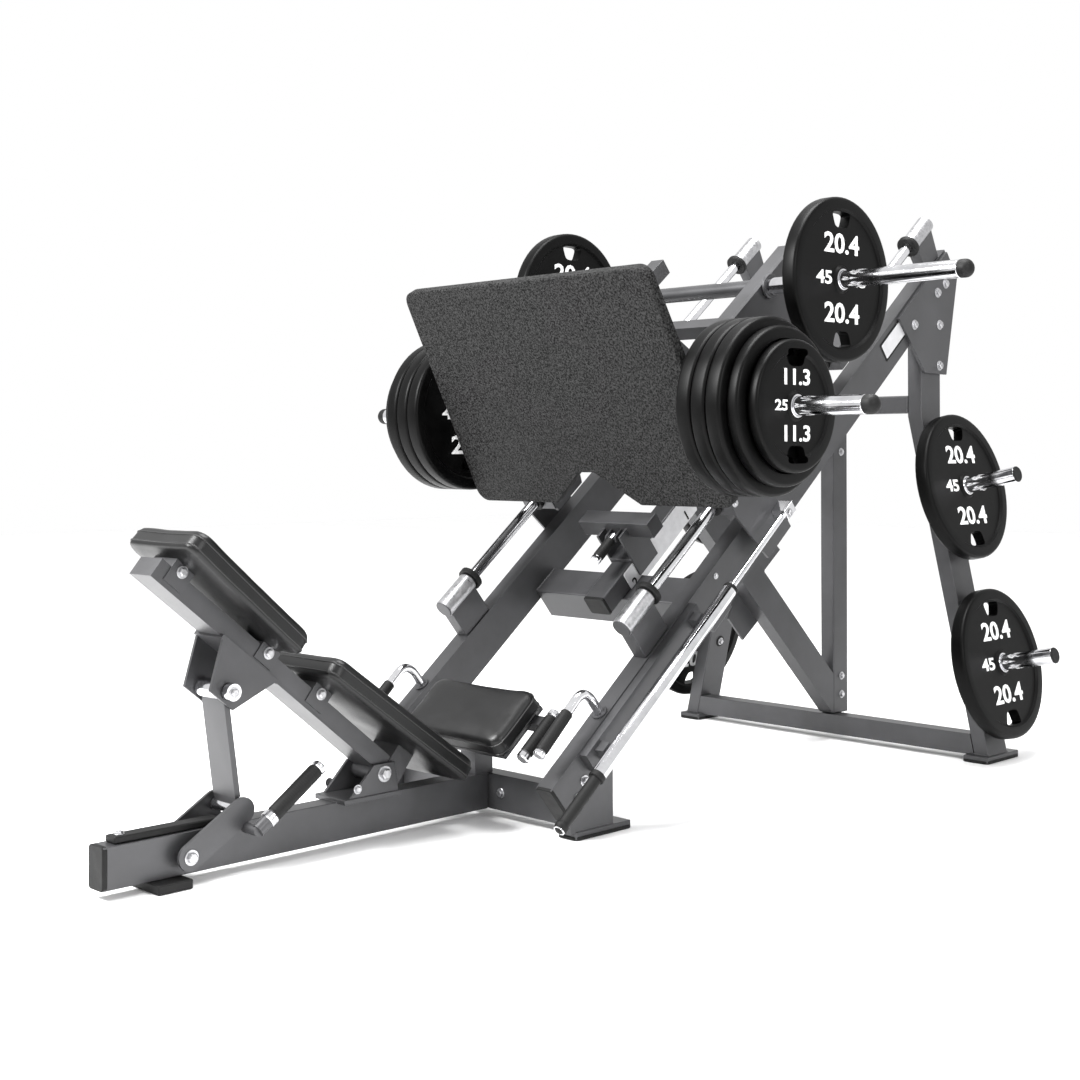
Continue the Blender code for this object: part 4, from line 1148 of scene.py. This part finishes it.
def swell(pad: bpy.types.Object, most: float, voxel: float = 0.006) -> None:
    """Blows the pad up as cloth under pressure, and keeps each point near where it was.

    Args:
        pad: the closed mesh, at the origin.
        most: the furthest that a point may move.
        voxel: the mesh size of the cloth.
    """
    remesh = pad.modifiers.new("even mesh", "REMESH")
    remesh.mode, remesh.voxel_size = "VOXEL", voxel
    apply_shape(pad)
    count = len(pad.data.vertices)
    before = np.empty(count * 3, np.float32)
    pad.data.vertices.foreach_get("co", before)
    cloth = pad.modifiers.new("foam", "CLOTH")
    cloth.settings.use_pressure = True
    cloth.settings.uniform_pressure_force = 4.0
    cloth.settings.tension_stiffness = 25.0
    cloth.settings.effector_weights.gravity = 0.0
    scene = bpy.context.scene
    for step in range(1, 21):
        scene.frame_set(step)
    shown = pad.evaluated_get(bpy.context.evaluated_depsgraph_get())
    after = np.empty(count * 3, np.float32)
    shown.data.vertices.foreach_get("co", after)
    move = (after - before).reshape(-1, 3)
    far = np.linalg.norm(move, axis=1)[:, None]
    move *= np.minimum(1.0, most / np.maximum(far, 1e-9))
    pad.modifiers.clear()
    ends = np.empty(len(pad.data.edges) * 2, np.int32)
    pad.data.edges.foreach_get("vertices", ends)
    a, b = ends.reshape(-1, 2).T
    links = (np.bincount(a, minlength=count) + np.bincount(b, minlength=count))[:, None]
    for _ in range(30):
        total = np.zeros_like(move)
        np.add.at(total, a, move[b])
        np.add.at(total, b, move[a])
        move = 0.3 * move + 0.7 * total / links
    pad.data.vertices.foreach_set("co", (before.reshape(-1, 3) + move).ravel())
    pad.data.update()
    scene.frame_set(1)


def apply_shape(obj: bpy.types.Object) -> None:
    """Makes the modifiers' result the object's own mesh."""
    graph = bpy.context.evaluated_depsgraph_get()
    mesh = bpy.data.meshes.new_from_object(obj.evaluated_get(graph))
    obj.modifiers.clear()
    obj.data = mesh
    mesh.shade_smooth()


@dataclass
class Upholstery:
    """The seat and the two pads of the backrest."""

    def build(self) -> None:
        """Makes the three pads from the places of their CAD solids."""
        for node, (u0, v0), (u1, v1), width in (
                ("back_pad_upper", (0.8182, 0.1274), (0.4113, 0.1108), 0.290),
                ("back_pad_lower", (0.3477, 0.1197), (-0.190, 0.1503), 0.290)):
            a, b = back_point(u0, 0.0, v0), back_point(u1, 0.0, v1)
            along = (a - b) / np.linalg.norm(a - b)
            out = np.cross(along, ACROSS)
            out *= np.sign(out[2])
            Pad(node, (a + b) / 2, along, out, float(np.linalg.norm(a - b)), width, 0.055).build()
        a, b = seat_point(0.0, 0.0, 0.0), seat_point(0.200, 0.0, 0.0)
        along = (a - b) / np.linalg.norm(a - b)
        out = np.cross(along, ACROSS)
        out *= np.sign(out[2])
        Pad("seat_pad", (a + b) / 2, along, out, 0.200, 0.388, 0.060).build()


@dataclass
class Studio:
    """A pale floor, a white surround and three soft lights, with the camera at the buyer's view."""

    eye: tuple[float, float, float] = (-3.080, -2.962, 0.927)
    tilt: float = 90.82
    turn: float = -45.1
    lens: float = 52.12

    def build(self) -> None:
        """Makes the camera, the lights, the world and the floor."""
        camera = bpy.data.cameras.new("camera")
        camera.lens, camera.sensor_width = self.lens, 36.0
        camera.shift_x, camera.shift_y = -0.0095, -0.1015
        holder = bpy.data.objects.new("camera", camera)
        holder.location = self.eye
        holder.rotation_euler = (math.radians(self.tilt), 0.0, math.radians(self.turn))
        bpy.context.scene.collection.objects.link(holder)
        bpy.context.scene.camera = holder
        world = bpy.data.worlds.new("surround")
        world.use_nodes = True
        world.node_tree.nodes["Background"].inputs["Color"].default_value = (1, 1, 1, 1)
        world.node_tree.nodes["Background"].inputs["Strength"].default_value = 1.0
        bpy.context.scene.world = world
        bpy.context.scene.view_settings.view_transform = "Standard"
        for name, spot, size, power in (("key", (-3.4, 0.9, 3.4), 1.6, 420),
                                        ("top", (0.3, -0.4, 4.4), 2.4, 260),
                                        ("rim", (-1.0, -4.2, 2.4), 1.0, 60)):
            self.softbox(name, Vector(spot), size, power)
        self.floor()

    def softbox(self, name: str, spot: Vector, size: float, power: float) -> None:
        """One square area light, aimed at the machine's middle."""
        light = bpy.data.lights.new(name, "AREA")
        light.size, light.energy = size, power
        holder = bpy.data.objects.new(name, light)
        holder.location = spot
        holder.rotation_euler = (Vector((0.2, 0, 0.6)) - spot).to_track_quat("-Z", "Y").to_euler()
        bpy.context.scene.collection.objects.link(holder)

    def floor(self) -> None:
        """A wide pale floor with a faint drift in tone."""
        pale = Finish("pale_studio_floor", "frame", "#fbfbfb", "#ffffff", 900, (0.6, 0.7), 0.0,
                      40, 0.0)
        reach, drop = 14.0, -0.0005
        corners = np.array([[x * reach, y * reach, drop]
                            for x, y in ((-1, -1), (1, -1), (1, 1), (-1, 1))])
        mesh_object("studio_floor", corners, [(0, 1, 2, 3)], pale)


def main() -> None:
    """Builds the studio and every sub-assembly in order."""
    logging.basicConfig(level=logging.INFO, format="%(message)s")
    Studio().build()
    SteelFrame().build()
    Chromework().build()
    Handles().build()
    StopDetails().build()
    Plates().build()
    Platform().build()
    Upholstery().build()
    BOLTS.build()


if __name__ == "__main__":
    main()
